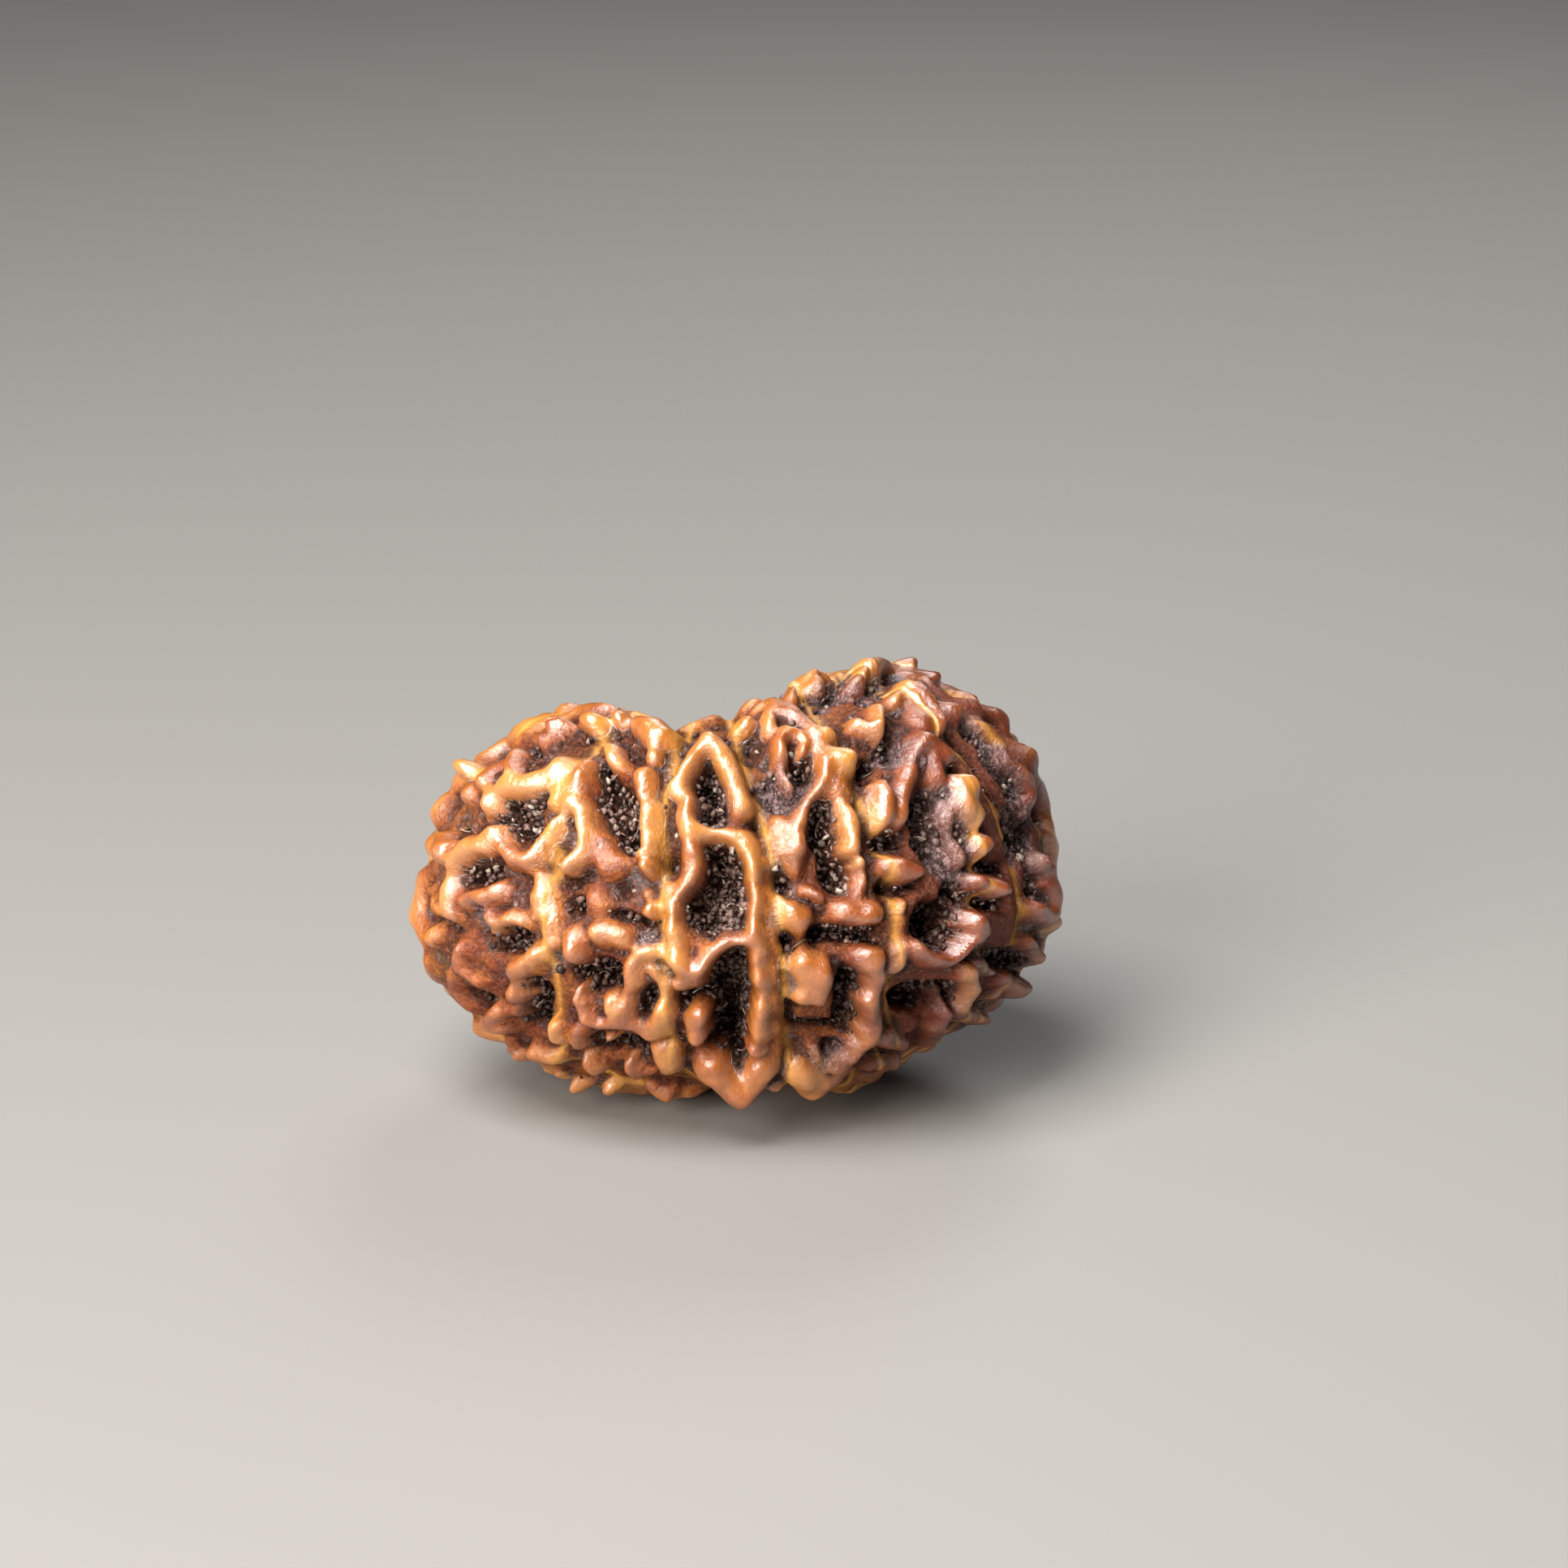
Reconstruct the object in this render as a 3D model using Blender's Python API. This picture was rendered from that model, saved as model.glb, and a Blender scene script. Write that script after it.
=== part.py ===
"""A fifteen mukhi rudraksha bead: the woody stone of one fruit, lying on a table as it comes to rest.

It is one piece. Fifteen faces run from pole to pole round the natural thread canal, parted by seams,
and every face is covered by ridges, knobs and pits raised from the bare form by one formula.
"""

import math

import bmesh
import bpy
import numpy as np
from mathutils import noise
from mathutils.bvhtree import BVHTree

MM = 0.001
NAME = "rudraksha_bead"
WOOD_COLOUR = (0.42, 0.17, 0.055, 1.0)
WOOD_ROUGHNESS = 0.38

# The bare form under the relief, in millimetres from its middle
HALF_WIDTH = 12.35
HALF_DEPTH = 8.7
UPPER_HEIGHT = 8.85
LOBE_GAIN = 0.045
LOWER_HEIGHT = 7.3
PLAN_FULLNESS = 2.15
UPPER_FULLNESS = 3.1
LOWER_FULLNESS = 1.8

# The valley between the two lobes, which holds the upper pole
VALLEY_SHARE = 0.25
VALLEY_FALL = 0.3
VALLEY_START = 0.5
VALLEY_END = 0.9
VALLEY_HALF_WIDTH = 3.0
VALLEY_OFFSET = -1.1
UPPER_DIMPLE = (0.16, 0.85)
LOWER_DIMPLE = (0.1, 0.88)

# Broad swells and dents of the bare form: bearing and latitude in degrees, and height in millimetres
SWELLS = (
    ("crown", 77, 57, -0.4),
    ("right shoulder", 101, 42, -0.15),
    ("valley", -15, 59, -0.25),
    ("left crown", -99, 49, -0.1),
    ("left shoulder", -95, 35, -0.5),
    ("left end", -81, -9, 0.4),
    ("left underside", -76, -30, 0.2),
    ("low left", -75, -57, -0.35),
    ("chin", -7, -59, 0.4),
    ("low right", 28, -62, 0.5),
    ("right underside", 87, -40, -0.3),
    ("right end", 81, -21, 0.4),
)
SWELL_SPREAD = math.radians(14)

# How the bead lies: the right lobe up, the upper pole back, and its lowest knobs worn flat
ROLL = math.radians(5)
LEAN = math.radians(17)
MIDDLE_HEIGHT = 7.9
FOOT_PLACE = (0.3, 1.6)
FOOT_RADII = (2.1, 1.3)
PLACE_X = 0.17
PLACE_Y = -0.42

# The natural canal along the axis
CANAL_RADIUS = 0.95
CANAL_RINGS = 3
CANAL_DEPTH = 0.7
UPPER_LATITUDE = math.radians(74)
LOWER_LATITUDE = math.radians(-80)
CALM_RADIUS = 2.6

# Relief that every face has, in millimetres
FACE_BULGE = 0.15
SEAM_DEPTH = 0.3
SEAM_REACH = 0.45
WAVE_HEIGHT = 0.1
WAVE_LENGTH = 1.3
WARP = 0.16
WARP_LENGTH = 1.6
WARP_OFFSETS = (31.0, 57.0, 83.0)
PIT_WALL = 0.5
PIT_LIP = (0.3, 0.85)
FACE_FULLNESS = 0.7

# How a form rises: lines slimmer than the broad reach flare out at their feet, all of it is blunted near its
# highest, and the ground between forms is filled a little
BROAD_REACH = 0.9
SLIM_REACH = 0.4
FLARE = 0.12
SLIM_POWER = 0.6
GROUND = 0.08
KNOB_POWER = 0.9
JOIN_POWER = 4
BLUNT = 2.2
FILL_SHARE = 0.2
FILL_ROUNDS = 5
FILL_CUT = 0.6

# The mesh: columns for each face, rows from pole to pole, the triangles kept, and how near the table a
# point is levelled onto it, in millimetres
FACE_COLUMNS = 18
ROWS = 130
TRIANGLES = 11600
LEVEL_REACH = 0.05
UNTANGLE_ROUNDS = 30

# The front view that places are read in: 20 degrees above the table, 30 pixels to a millimetre
VIEW_HEIGHT = math.radians(20)
VIEW_DISTANCE = 215.0
VIEW_PIXEL = 1 / 30
VIEW_MIDDLE_X = 913
VIEW_MIDDLE_Y = 1118

# Seams as the front view shows them, top to bottom: x and y of each point in its pixels
FRONT_SEAMS = (
    (560, 1000, 552, 1045, 542, 1080, 540, 1140, 546, 1200, 560, 1240),
    (722, 932, 703, 968, 692, 1010, 682, 1080, 680, 1140, 685, 1200, 692, 1260, 712, 1310),
    (838, 922, 822, 965, 820, 1010, 816, 1060, 818, 1110, 820, 1180, 826, 1230, 834, 1290, 846, 1330),
    (908, 925, 926, 965, 940, 1012, 950, 1060, 958, 1110, 962, 1180, 965, 1250, 967, 1330),
    (978, 838, 1002, 870, 1022, 915, 1045, 965, 1064, 1010, 1082, 1045, 1097, 1080, 1100, 1130, 1098, 1190,
     1092, 1250, 1078, 1300, 1060, 1335),
    (1146, 900, 1162, 945, 1182, 1000, 1198, 1045, 1204, 1090, 1206, 1130, 1200, 1180, 1184, 1240,
     1168, 1268),
    (1160, 900, 1197, 938, 1217, 970, 1236, 1003, 1250, 1045, 1258, 1090, 1258, 1140, 1246, 1190),
    (1165, 885, 1222, 908, 1250, 958, 1280, 1010, 1290, 1050, 1290, 1095, 1284, 1140, 1274, 1185),
)
REAR_SEAMS = 7
LEAST_FACE = math.radians(6)
SEAM_UNEVEN = 0.035

# Forms that the front view shows: height and half width in millimetres, then x and y of each point in its
# pixels. A height below nought is a pit.
FACE_1 = (
    ("upper edge knob", 1.0, 0.6, 518, 1028, 524, 1046),
    ("middle edge knob", 0.9, 0.4, 518, 1095),
    ("lower edge knob", 0.8, 0.4, 528, 1102, 528, 1120),
    ("round edge knob", 1.6, 0.68, 516, 1152),
    ("lower edge ridge", 0.7, 0.5, 548, 1200, 552, 1225, 568, 1246),
)
FACE_2 = (
    ("round knob", 1.0, 0.65, 567, 970),
    ("bent knob", 1.0, 0.6, 590, 955, 598, 940, 612, 934),
    ("edge knob", 0.8, 0.5, 576, 945),
    ("tall knob", 1.15, 0.5, 627, 915, 625, 946),
    ("brow", 1.0, 0.78, 592, 988, 594, 972, 612, 965, 640, 961, 668, 953, 686, 940),
    ("brow end", 0.95, 0.85, 686, 936, 684, 962, 678, 978),
    ("domed knob", 0.8, 0.7, 662, 904),
    ("upper pit", -1.0, 0.42, 648, 933, 662, 930),
    ("round pit, upper half", -0.95, 0.78, 622, 988, 645, 986),
    ("round pit, lower half", -0.95, 0.72, 628, 1012, 645, 1015),
    ("round pit, low corner", -1.0, 0.36, 632, 1035),
    ("cleft under the brow", -0.8, 0.25, 660, 993, 685, 988),
    ("round pit, lower lip", 1.0, 0.55, 602, 1018, 608, 1043, 620, 1058, 636, 1060, 650, 1050, 662, 1032,
     674, 1012),
    ("shoulder hollow", -0.6, 0.6, 568, 1002, 572, 1022),
    ("left brow", 1.0, 0.6, 598, 1020, 588, 1038, 566, 1044, 552, 1056, 545, 1070, 542, 1090, 541, 1128),
    ("middle hollow", -0.8, 0.6, 580, 1076, 606, 1078),
    ("finger", 0.9, 0.5, 562, 1110, 580, 1104, 604, 1099),
    ("finger tip", 0.8, 0.35, 612, 1100),
    ("grey hollow", -0.6, 0.36, 603, 1112, 605, 1128),
    ("hollow lip", 0.8, 0.36, 590, 1122, 600, 1136),
    ("red hollow", -0.8, 0.46, 567, 1133),
    ("pointed knob", 1.0, 0.58, 655, 1084, 651, 1114),
    ("right ridge", 0.85, 0.6, 660, 1105, 668, 1130, 668, 1160),
    ("eye brow", 0.8, 0.5, 596, 1152, 608, 1138, 625, 1130, 642, 1132),
    ("eye", -1.2, 0.68, 615, 1155, 638, 1155),
    ("grain, left", 0.5, 0.3, 578, 1175),
    ("grain, middle", 0.5, 0.3, 603, 1178),
    ("grain, low", 0.5, 0.3, 603, 1193),
    ("side ridge", 0.7, 0.5, 560, 1165, 560, 1195, 580, 1210),
    ("hook", 1.0, 0.6, 650, 1178, 638, 1186, 624, 1196, 618, 1214, 622, 1238, 618, 1258),
    ("deep pit", -1.5, 0.76, 652, 1214, 650, 1238, 657, 1254),
    ("small pit", -0.9, 0.4, 590, 1228, 606, 1230),
    ("bottom knob", 1.0, 0.56, 592, 1250, 588, 1266, 602, 1272),
    ("gloss knob", 1.0, 0.6, 672, 1275, 680, 1287),
    ("low edge ridge", 0.6, 0.34, 622, 1280, 634, 1294),
    ("low edge knob", 0.8, 0.42, 638, 1300),
    ("low knob", 1.0, 0.7, 652, 1305, 674, 1311),
    ("last knob", 0.7, 0.4, 690, 1324),
)
FACE_3 = (
    ("top left knob", 1.0, 0.42, 672, 886),
    ("top second knob", 1.0, 0.42, 688, 884),
    ("top third knob", 1.1, 0.62, 722, 882),
    ("top fourth knob", 1.0, 0.5, 757, 880),
    ("top dome", 0.9, 0.9, 786, 884, 808, 900),
    ("top left pit", -0.8, 0.4, 730, 910),
    ("top right pit", -0.8, 0.4, 770, 906),
    ("yellow knob", 1.0, 0.6, 748, 918, 755, 934),
    ("pale knob", 0.9, 0.5, 800, 921),
    ("slit", -0.6, 0.26, 785, 935, 801, 936),
    ("left crest", 0.95, 0.6, 720, 936, 711, 952, 703, 970, 700, 984),
    ("loop", 1.0, 0.5, 702, 984, 712, 1002, 716, 1024, 712, 1045, 698, 1058, 690, 1068),
    ("loop, seam side", 0.8, 0.42, 698, 986, 686, 1008, 682, 1032),
    ("loop hollow", -0.7, 0.45, 697, 1014, 697, 1036),
    ("tall pit, upper end", -1.2, 0.45, 748, 948, 750, 974),
    ("tall pit", -1.0, 0.8, 756, 988, 765, 1010),
    ("tall pit, lower end", -1.2, 0.6, 776, 1034),
    ("pit wall knob", 1.05, 0.7, 786, 946, 788, 970),
    ("orange knob", 1.0, 0.7, 797, 992, 800, 1026),
    ("pale rung", 0.8, 0.36, 785, 1048, 803, 1046),
    ("smooth slope", 0.6, 0.95, 728, 1015, 740, 1040, 752, 1062),
    ("knob by the seam", 0.95, 0.5, 793, 1066),
    ("pearl", 0.6, 0.28, 795, 1098),
    ("pearl by the seam", 0.9, 0.4, 814, 1092, 815, 1112),
    ("lower knob by the seam", 0.9, 0.5, 796, 1120),
    ("brown cleft", -0.6, 0.3, 702, 1086, 724, 1078),
    ("grainy hollow", -0.35, 0.55, 767, 1096),
    ("orange mound", 0.5, 0.8, 737, 1108),
    ("groove", -0.8, 0.28, 765, 1126, 800, 1137),
    ("black hollow", -1.1, 0.48, 708, 1117),
    ("glossy saddle", 0.95, 0.75, 735, 1150, 757, 1156),
    ("glossy rung", 0.9, 0.5, 782, 1176, 808, 1176),
    ("lilac hollow", -0.3, 0.4, 800, 1155),
    ("knob by the left seam", 0.95, 0.76, 697, 1160, 700, 1184),
    ("dark pit", -1.4, 0.74, 724, 1200, 746, 1200),
    ("left blade", 0.9, 0.5, 704, 1220, 710, 1240, 717, 1256),
    ("glossy pad", 0.85, 0.5, 743, 1230, 750, 1246),
    ("middle blade", 0.9, 0.6, 778, 1190, 776, 1215, 770, 1244, 756, 1261),
    ("lower rim", 0.85, 0.5, 717, 1256, 732, 1265, 756, 1262, 780, 1268, 796, 1280),
    ("small black pit", -1.1, 0.5, 797, 1222, 800, 1235),
    ("small pit, right wall", 0.8, 0.45, 800, 1194, 813, 1210, 816, 1236),
    ("drop", 1.05, 0.7, 808, 1250, 806, 1280),
    ("cavity", -1.2, 0.7, 745, 1284, 766, 1281, 786, 1290),
    ("berry", 0.9, 0.44, 744, 1288),
    ("corner knob", 0.9, 0.6, 703, 1276, 707, 1296),
    ("bottom left knob", 1.0, 0.5, 768, 1318, 779, 1334),
    ("bottom saddle", 0.7, 0.5, 797, 1325),
    ("bottom right knob", 1.1, 0.75, 814, 1305, 820, 1328),
    ("left tooth", 1.0, 0.5, 716, 1312, 729, 1326),
    ("edge tooth", 1.0, 0.45, 712, 1340),
    ("middle tooth", 1.0, 0.45, 750, 1343),
    ("wide tooth", 0.8, 0.45, 797, 1346, 820, 1350),
)
FACE_4 = (
    ("arch, left arm", 1.0, 0.62, 868, 910, 854, 924, 842, 946, 828, 966),
    ("arch, right arm", 0.85, 0.75, 872, 910, 892, 934, 906, 962, 914, 992),
    ("notch by the left seam", -0.4, 0.3, 852, 970),
    ("upper left wall", 0.95, 0.62, 844, 980, 842, 1000, 847, 1024, 851, 1048),
    ("upper pit", -1.4, 0.6, 874, 944, 876, 972),
    ("upper pit, grey floor", -0.85, 0.66, 880, 986, 882, 1008),
    ("middle arch", 0.95, 0.62, 852, 1018, 872, 1021, 892, 1026, 911, 1034, 923, 1050, 928, 1072),
    ("middle right wall", 1.0, 0.6, 928, 1072, 929, 1100, 928, 1130, 924, 1150),
    ("middle left wall", 1.0, 0.6, 851, 1048, 852, 1064, 848, 1080, 836, 1092, 828, 1104, 827, 1130,
     826, 1150),
    ("gloss knob", 1.05, 0.66, 825, 1152, 826, 1180),
    ("lip", 1.0, 0.62, 828, 1184, 840, 1196, 854, 1201, 868, 1190, 882, 1174, 896, 1161, 912, 1154,
     926, 1150),
    ("lip, lower side", 0.75, 0.6, 836, 1212, 854, 1210, 868, 1198),
    ("slope over the lip", 0.35, 0.7, 846, 1165, 866, 1172),
    ("middle pit", -1.7, 0.8, 888, 1060, 891, 1095),
    ("middle pit, grey floor", -1.5, 1.0, 880, 1121, 893, 1127),
    ("lower pit", -1.95, 0.84, 901, 1184, 900, 1215, 899, 1250, 897, 1290),
    ("lower pit, bottom", -1.7, 0.75, 896, 1300),
    ("lower pit, left arm", -1.4, 0.42, 890, 1220, 866, 1227, 842, 1232),
    ("block", 1.05, 0.78, 857, 1256, 858, 1284),
    ("lower right wall", 1.0, 0.62, 928, 1150, 934, 1178, 936, 1214, 935, 1250, 936, 1286),
    ("wall foot", 1.1, 0.6, 933, 1303),
    ("strap", 0.5, 0.62, 942, 1046, 947, 1090, 951, 1140, 953, 1190, 954, 1250, 955, 1310),
    ("seam hollow", -0.6, 0.35, 925, 1017),
    ("little hollow", -0.7, 0.42, 829, 1067),
    ("tooth, left side", 1.3, 1.0, 872, 1326, 904, 1360),
    ("tooth, right side", 1.3, 0.95, 940, 1330, 908, 1360),
    ("tooth tip", 1.6, 0.8, 908, 1364),
)
FACE_5 = (
    ("notch knob", 1.0, 0.72, 914, 886),
    ("crest knob", 0.75, 0.5, 932, 870, 950, 862),
    ("pale knob", 0.95, 0.45, 945, 874, 947, 895),
    ("pale bead", 0.9, 0.4, 968, 895),
    ("strap", 0.85, 0.7, 952, 868, 976, 872, 996, 885, 1010, 902, 1020, 922),
    ("crater rim", 1.0, 0.4, 963, 928, 960, 912, 968, 901, 984, 899, 994, 909, 993, 924),
    ("crater", -0.1, 0.42, 977, 917),
    ("second rim", 0.8, 0.36, 966, 934, 965, 954, 974, 966),
    ("second crater", -0.9, 0.46, 986, 948, 991, 957),
    ("small hollow", -0.6, 0.3, 948, 943),
    ("grainy hollow", -0.5, 0.55, 925, 930, 934, 914),
    ("lilac hollow", -0.5, 0.8, 958, 976, 984, 984),
    ("blade", 1.0, 0.5, 1020, 934, 1014, 956, 1006, 974, 994, 994, 985, 1018, 986, 1045),
    ("upper plane", 0.7, 0.95, 1027, 955, 1038, 978),
    ("left plane", 0.7, 0.95, 966, 1022, 971, 1062),
    ("black dot", -1.1, 0.32, 1004, 1013),
    ("tall pit", -0.95, 0.66, 1014, 1008, 1020, 1036),
    ("tall pit, lower end", -1.3, 0.64, 1031, 1060, 1030, 1080),
    ("orange column", 1.0, 0.65, 1052, 1000, 1053, 1040),
    ("pale cap", 0.9, 0.36, 1042, 988),
    ("pearl", 0.95, 0.4, 1065, 1058),
    ("right ridge", 0.7, 0.5, 1064, 1062, 1060, 1098),
    ("seam pit", -1.0, 0.42, 962, 1073, 965, 1092),
    ("left glint", 0.8, 0.36, 996, 1095, 1009, 1104),
    ("middle glint", 0.7, 0.3, 1028, 1115),
    ("seam glint", 0.7, 0.28, 962, 1106, 965, 1120),
    ("cheek", 1.0, 0.8, 1046, 1124, 1064, 1131, 1078, 1128),
    ("left cheek", 0.9, 0.76, 976, 1128, 985, 1139),
    ("recess", -1.3, 0.5, 1008, 1152, 1040, 1150, 1066, 1152),
    ("seam slot", -1.0, 0.32, 968, 1160, 972, 1176),
    ("block, left half", 1.15, 0.74, 992, 1190, 992, 1234),
    ("block, right half", 1.05, 0.68, 1012, 1196, 1015, 1234),
    ("side slot", -0.7, 0.26, 972, 1198, 973, 1256),
    ("right pit", -1.5, 0.52, 1046, 1200, 1044, 1232, 1042, 1260),
    ("foot slot", -1.2, 0.36, 986, 1263, 1016, 1263, 1042, 1264),
    ("round knob", 1.1, 0.86, 1078, 1185),
    ("long knob", 0.95, 0.74, 1084, 1208, 1074, 1236, 1078, 1262, 1070, 1288, 1056, 1308),
    ("low grey hollow", -0.6, 0.6, 1006, 1290, 1035, 1284),
    ("low pale knob", 0.8, 0.5, 1008, 1305, 1012, 1319),
    ("low plane", 0.9, 0.8, 1032, 1316, 1048, 1320),
    ("low brown hollow", -0.5, 0.5, 982, 1306),
    ("tooth", 1.3, 1.0, 988, 1338, 1006, 1354),
    ("tooth side", 1.0, 0.8, 1026, 1342),
    ("tooth between", 0.8, 0.5, 952, 1345),
)
FACE_6 = (
    ("crest spike", 0.95, 0.4, 978, 834, 974, 856),
    ("crest dome", 1.0, 0.82, 1004, 834),
    ("wet hollow", -0.5, 0.75, 1012, 862, 1042, 858, 1076, 852),
    ("wet hollow, left end", -0.8, 0.3, 1013, 874),
    ("wet hollow, right end", -0.8, 0.3, 1064, 868),
    ("peak crest", 0.9, 0.55, 1058, 834, 1084, 824, 1110, 818, 1134, 816, 1150, 828),
    ("peak face", 1.0, 1.1, 1136, 838, 1142, 860, 1152, 878),
    ("peak gloss", 1.0, 0.5, 1121, 839, 1108, 856),
    ("peak hollow", -0.7, 0.34, 1120, 878, 1134, 870),
    ("yellow spike", 1.1, 0.46, 1084, 866, 1085, 886),
    ("yellow band", 0.95, 0.4, 1056, 882, 1072, 890, 1090, 899),
    ("pale bead", 1.0, 0.5, 1028, 895),
    ("big pearl", 1.2, 0.86, 1048, 925),
    ("groove by the bead", -0.5, 0.22, 1020, 906, 1034, 903),
    ("maroon pit", -1.0, 0.55, 1070, 912, 1086, 915),
    ("hole under the pearl", -1.2, 0.32, 1054, 950, 1072, 944),
    ("lower hole", -0.8, 0.3, 1065, 963),
    ("grey hollow", -0.45, 0.62, 1092, 931, 1114, 936),
    ("column", 1.2, 0.62, 1095, 962, 1094, 1006),
    ("column side", 0.6, 0.4, 1075, 985),
    ("ridge apex, left arm", 1.0, 0.55, 1139, 914, 1134, 932, 1129, 956, 1120, 982, 1114, 1012),
    ("ridge apex, right arm", 0.75, 0.62, 1146, 914, 1156, 942, 1168, 980, 1182, 1018, 1194, 1058),
    ("grey face, dark top", -1.1, 0.5, 1140, 988, 1156, 988),
    ("grey face", -0.7, 0.85, 1144, 1008, 1158, 1022),
    ("grey face, low", -0.45, 0.9, 1150, 1040, 1170, 1064),
    ("grey face, hole", -1.3, 0.34, 1134, 1045, 1148, 1054),
    ("lilac slope", 0.15, 0.7, 1176, 1088),
    ("nose", 1.05, 0.6, 1108, 1068, 1136, 1076),
    ("maroon hollow", -0.8, 0.5, 1086, 1036, 1104, 1036),
    ("shadow under the nose", -0.7, 0.4, 1086, 1093, 1102, 1098, 1126, 1091),
    ("thin gloss", 0.7, 0.3, 1117, 1108, 1115, 1126),
    ("black pit, upper half", -1.8, 0.72, 1176, 1112, 1178, 1136),
    ("black pit, lower half", -1.7, 0.95, 1152, 1142, 1172, 1150),
    ("black pit, rim", 0.9, 0.55, 1139, 1172, 1150, 1185, 1170, 1188, 1190, 1178, 1204, 1165),
    ("brown column", 0.5, 0.5, 1111, 1138, 1111, 1160),
    ("tan knob", 0.9, 0.6, 1116, 1176, 1113, 1196),
    ("dark pit", -1.5, 0.8, 1122, 1228, 1142, 1230, 1158, 1226),
    ("dark pit, rim", 0.8, 0.4, 1180, 1228, 1172, 1250, 1163, 1268, 1155, 1284),
    ("mauve knob", 0.95, 0.75, 1098, 1285, 1115, 1296),
    ("mauve slope", 0.4, 0.7, 1124, 1266),
    ("low knob", 0.8, 0.5, 1155, 1270, 1153, 1286),
    ("last knob", 0.8, 0.6, 1076, 1320, 1100, 1311),
)
FACE_7 = (
    ("collar", 0.95, 0.6, 1142, 905, 1160, 915, 1182, 929),
    ("hole", -1.5, 0.5, 1173, 951),
    ("big gloss knob", 1.2, 0.8, 1200, 960, 1205, 985, 1214, 1004),
    ("second hole", -1.2, 0.4, 1200, 1022, 1208, 1030),
    ("second knob", 1.15, 0.66, 1225, 1038),
    ("slot", -1.0, 0.32, 1206, 1063, 1220, 1066, 1238, 1070),
    ("long knob", 1.1, 0.6, 1216, 1085, 1250, 1095),
    ("gap", -1.2, 0.36, 1208, 1108, 1236, 1113),
    ("seam wall", 0.7, 0.4, 1192, 1102, 1202, 1126, 1204, 1150),
    ("third knob", 1.0, 0.76, 1215, 1136, 1221, 1154),
    ("grey pit", -1.1, 0.5, 1215, 1178, 1252, 1184, 1268, 1198),
    ("grey knob", 0.8, 0.46, 1213, 1189, 1229, 1200),
    ("orange knob", 0.9, 0.7, 1198, 1202, 1207, 1224, 1200, 1240),
    ("low knob", 0.9, 0.56, 1190, 1250, 1207, 1258),
    ("side knob", 0.9, 0.6, 1246, 1212, 1254, 1224),
    ("small side knob", 0.7, 0.45, 1230, 1230),
)
FACE_8 = (
    ("sunken strip", -0.55, 0.6, 1182, 906, 1206, 923, 1226, 946, 1240, 966, 1250, 986),
    ("upper crack", -1.0, 0.22, 1166, 886, 1200, 898, 1222, 909, 1240, 930, 1248, 955),
    ("lower crack", -0.8, 0.2, 1160, 900, 1180, 918, 1200, 939, 1213, 960, 1226, 985, 1238, 1002),
    ("torn gap", -0.9, 0.5, 1245, 1010, 1255, 1034, 1250, 1050),
    ("edge crack", -0.9, 0.24, 1292, 1036, 1287, 1068, 1264, 1090),
    ("dark gap", -0.9, 0.44, 1268, 1106, 1275, 1144),
)
FACE_9 = (
    ("smooth shoulder", 0.75, 0.8, 1170, 868, 1200, 880, 1226, 891, 1241, 906, 1250, 930),
    ("upper lobe", 0.7, 0.7, 1264, 946, 1279, 966, 1282, 1000),
    ("edge lobe", 0.9, 0.9, 1297, 1056, 1305, 1086, 1307, 1104),
    ("lower edge lobe", 0.9, 0.65, 1291, 1120, 1307, 1138),
    ("last edge lobe", 0.8, 0.5, 1279, 1166, 1285, 1184),
)
FRONT_FORMS = FACE_1 + FACE_2 + FACE_3 + FACE_4 + FACE_5 + FACE_6 + FACE_7 + FACE_8 + FACE_9

# The net of ridges and pits that the other faces carry, drawn with a fixed seed
SEED = 15
CELL_ROWS = 8
CELL_HEIGHTS = (-70, 64)
CELL_JITTER = 0.22
CELL_PLACES = (0.27, 0.73)
NET_REACH = 1.5
NET_HEIGHT = 0.7
KNOT_REACH = 1.5
KNOT_HEIGHT = 0.6
NET_PITS = (0.4, 1.5)
NET_FLOOR = (0.6, 2.0)
NET_POWER = 1.5
NET_BATCH = 4000
FRONT_EDGE = (0.28, -0.02)
TOP_EDGE = (0.22, 0.02)
TOP_START = math.radians(20)


def smooth_step(value, low, high):
    """Nought below low, one above high, and a smooth rise between them; low may be the higher one."""
    share = np.clip((value - low) / (high - low), 0, 1)
    return share * share * (3 - 2 * share)


def turn_of_bead():
    """The turn from the bead's own axes, canal upright, to the way it lies on the table."""
    roll = np.array(
        [[math.cos(ROLL), 0, -math.sin(ROLL)], [0, 1, 0], [math.sin(ROLL), 0, math.cos(ROLL)]]
    )
    lean = np.array(
        [[1, 0, 0], [0, math.cos(LEAN), math.sin(LEAN)], [0, -math.sin(LEAN), math.cos(LEAN)]]
    )
    return lean @ roll


TURN = turn_of_bead()


def direction_of(turn, latitude):
    """The direction with this bearing and latitude in the bead's own axes."""
    across, back = np.sin(turn) * HALF_WIDTH, -np.cos(turn) * HALF_DEPTH
    length = np.hypot(across, back)
    flat = np.cos(latitude)
    return np.stack([across / length * flat, back / length * flat, np.sin(latitude) + 0 * turn], axis=-1)


SWELL_SPOTS = tuple(
    (direction_of(np.radians(turn), np.radians(latitude)), height) for _, turn, latitude, height in SWELLS
)


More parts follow.
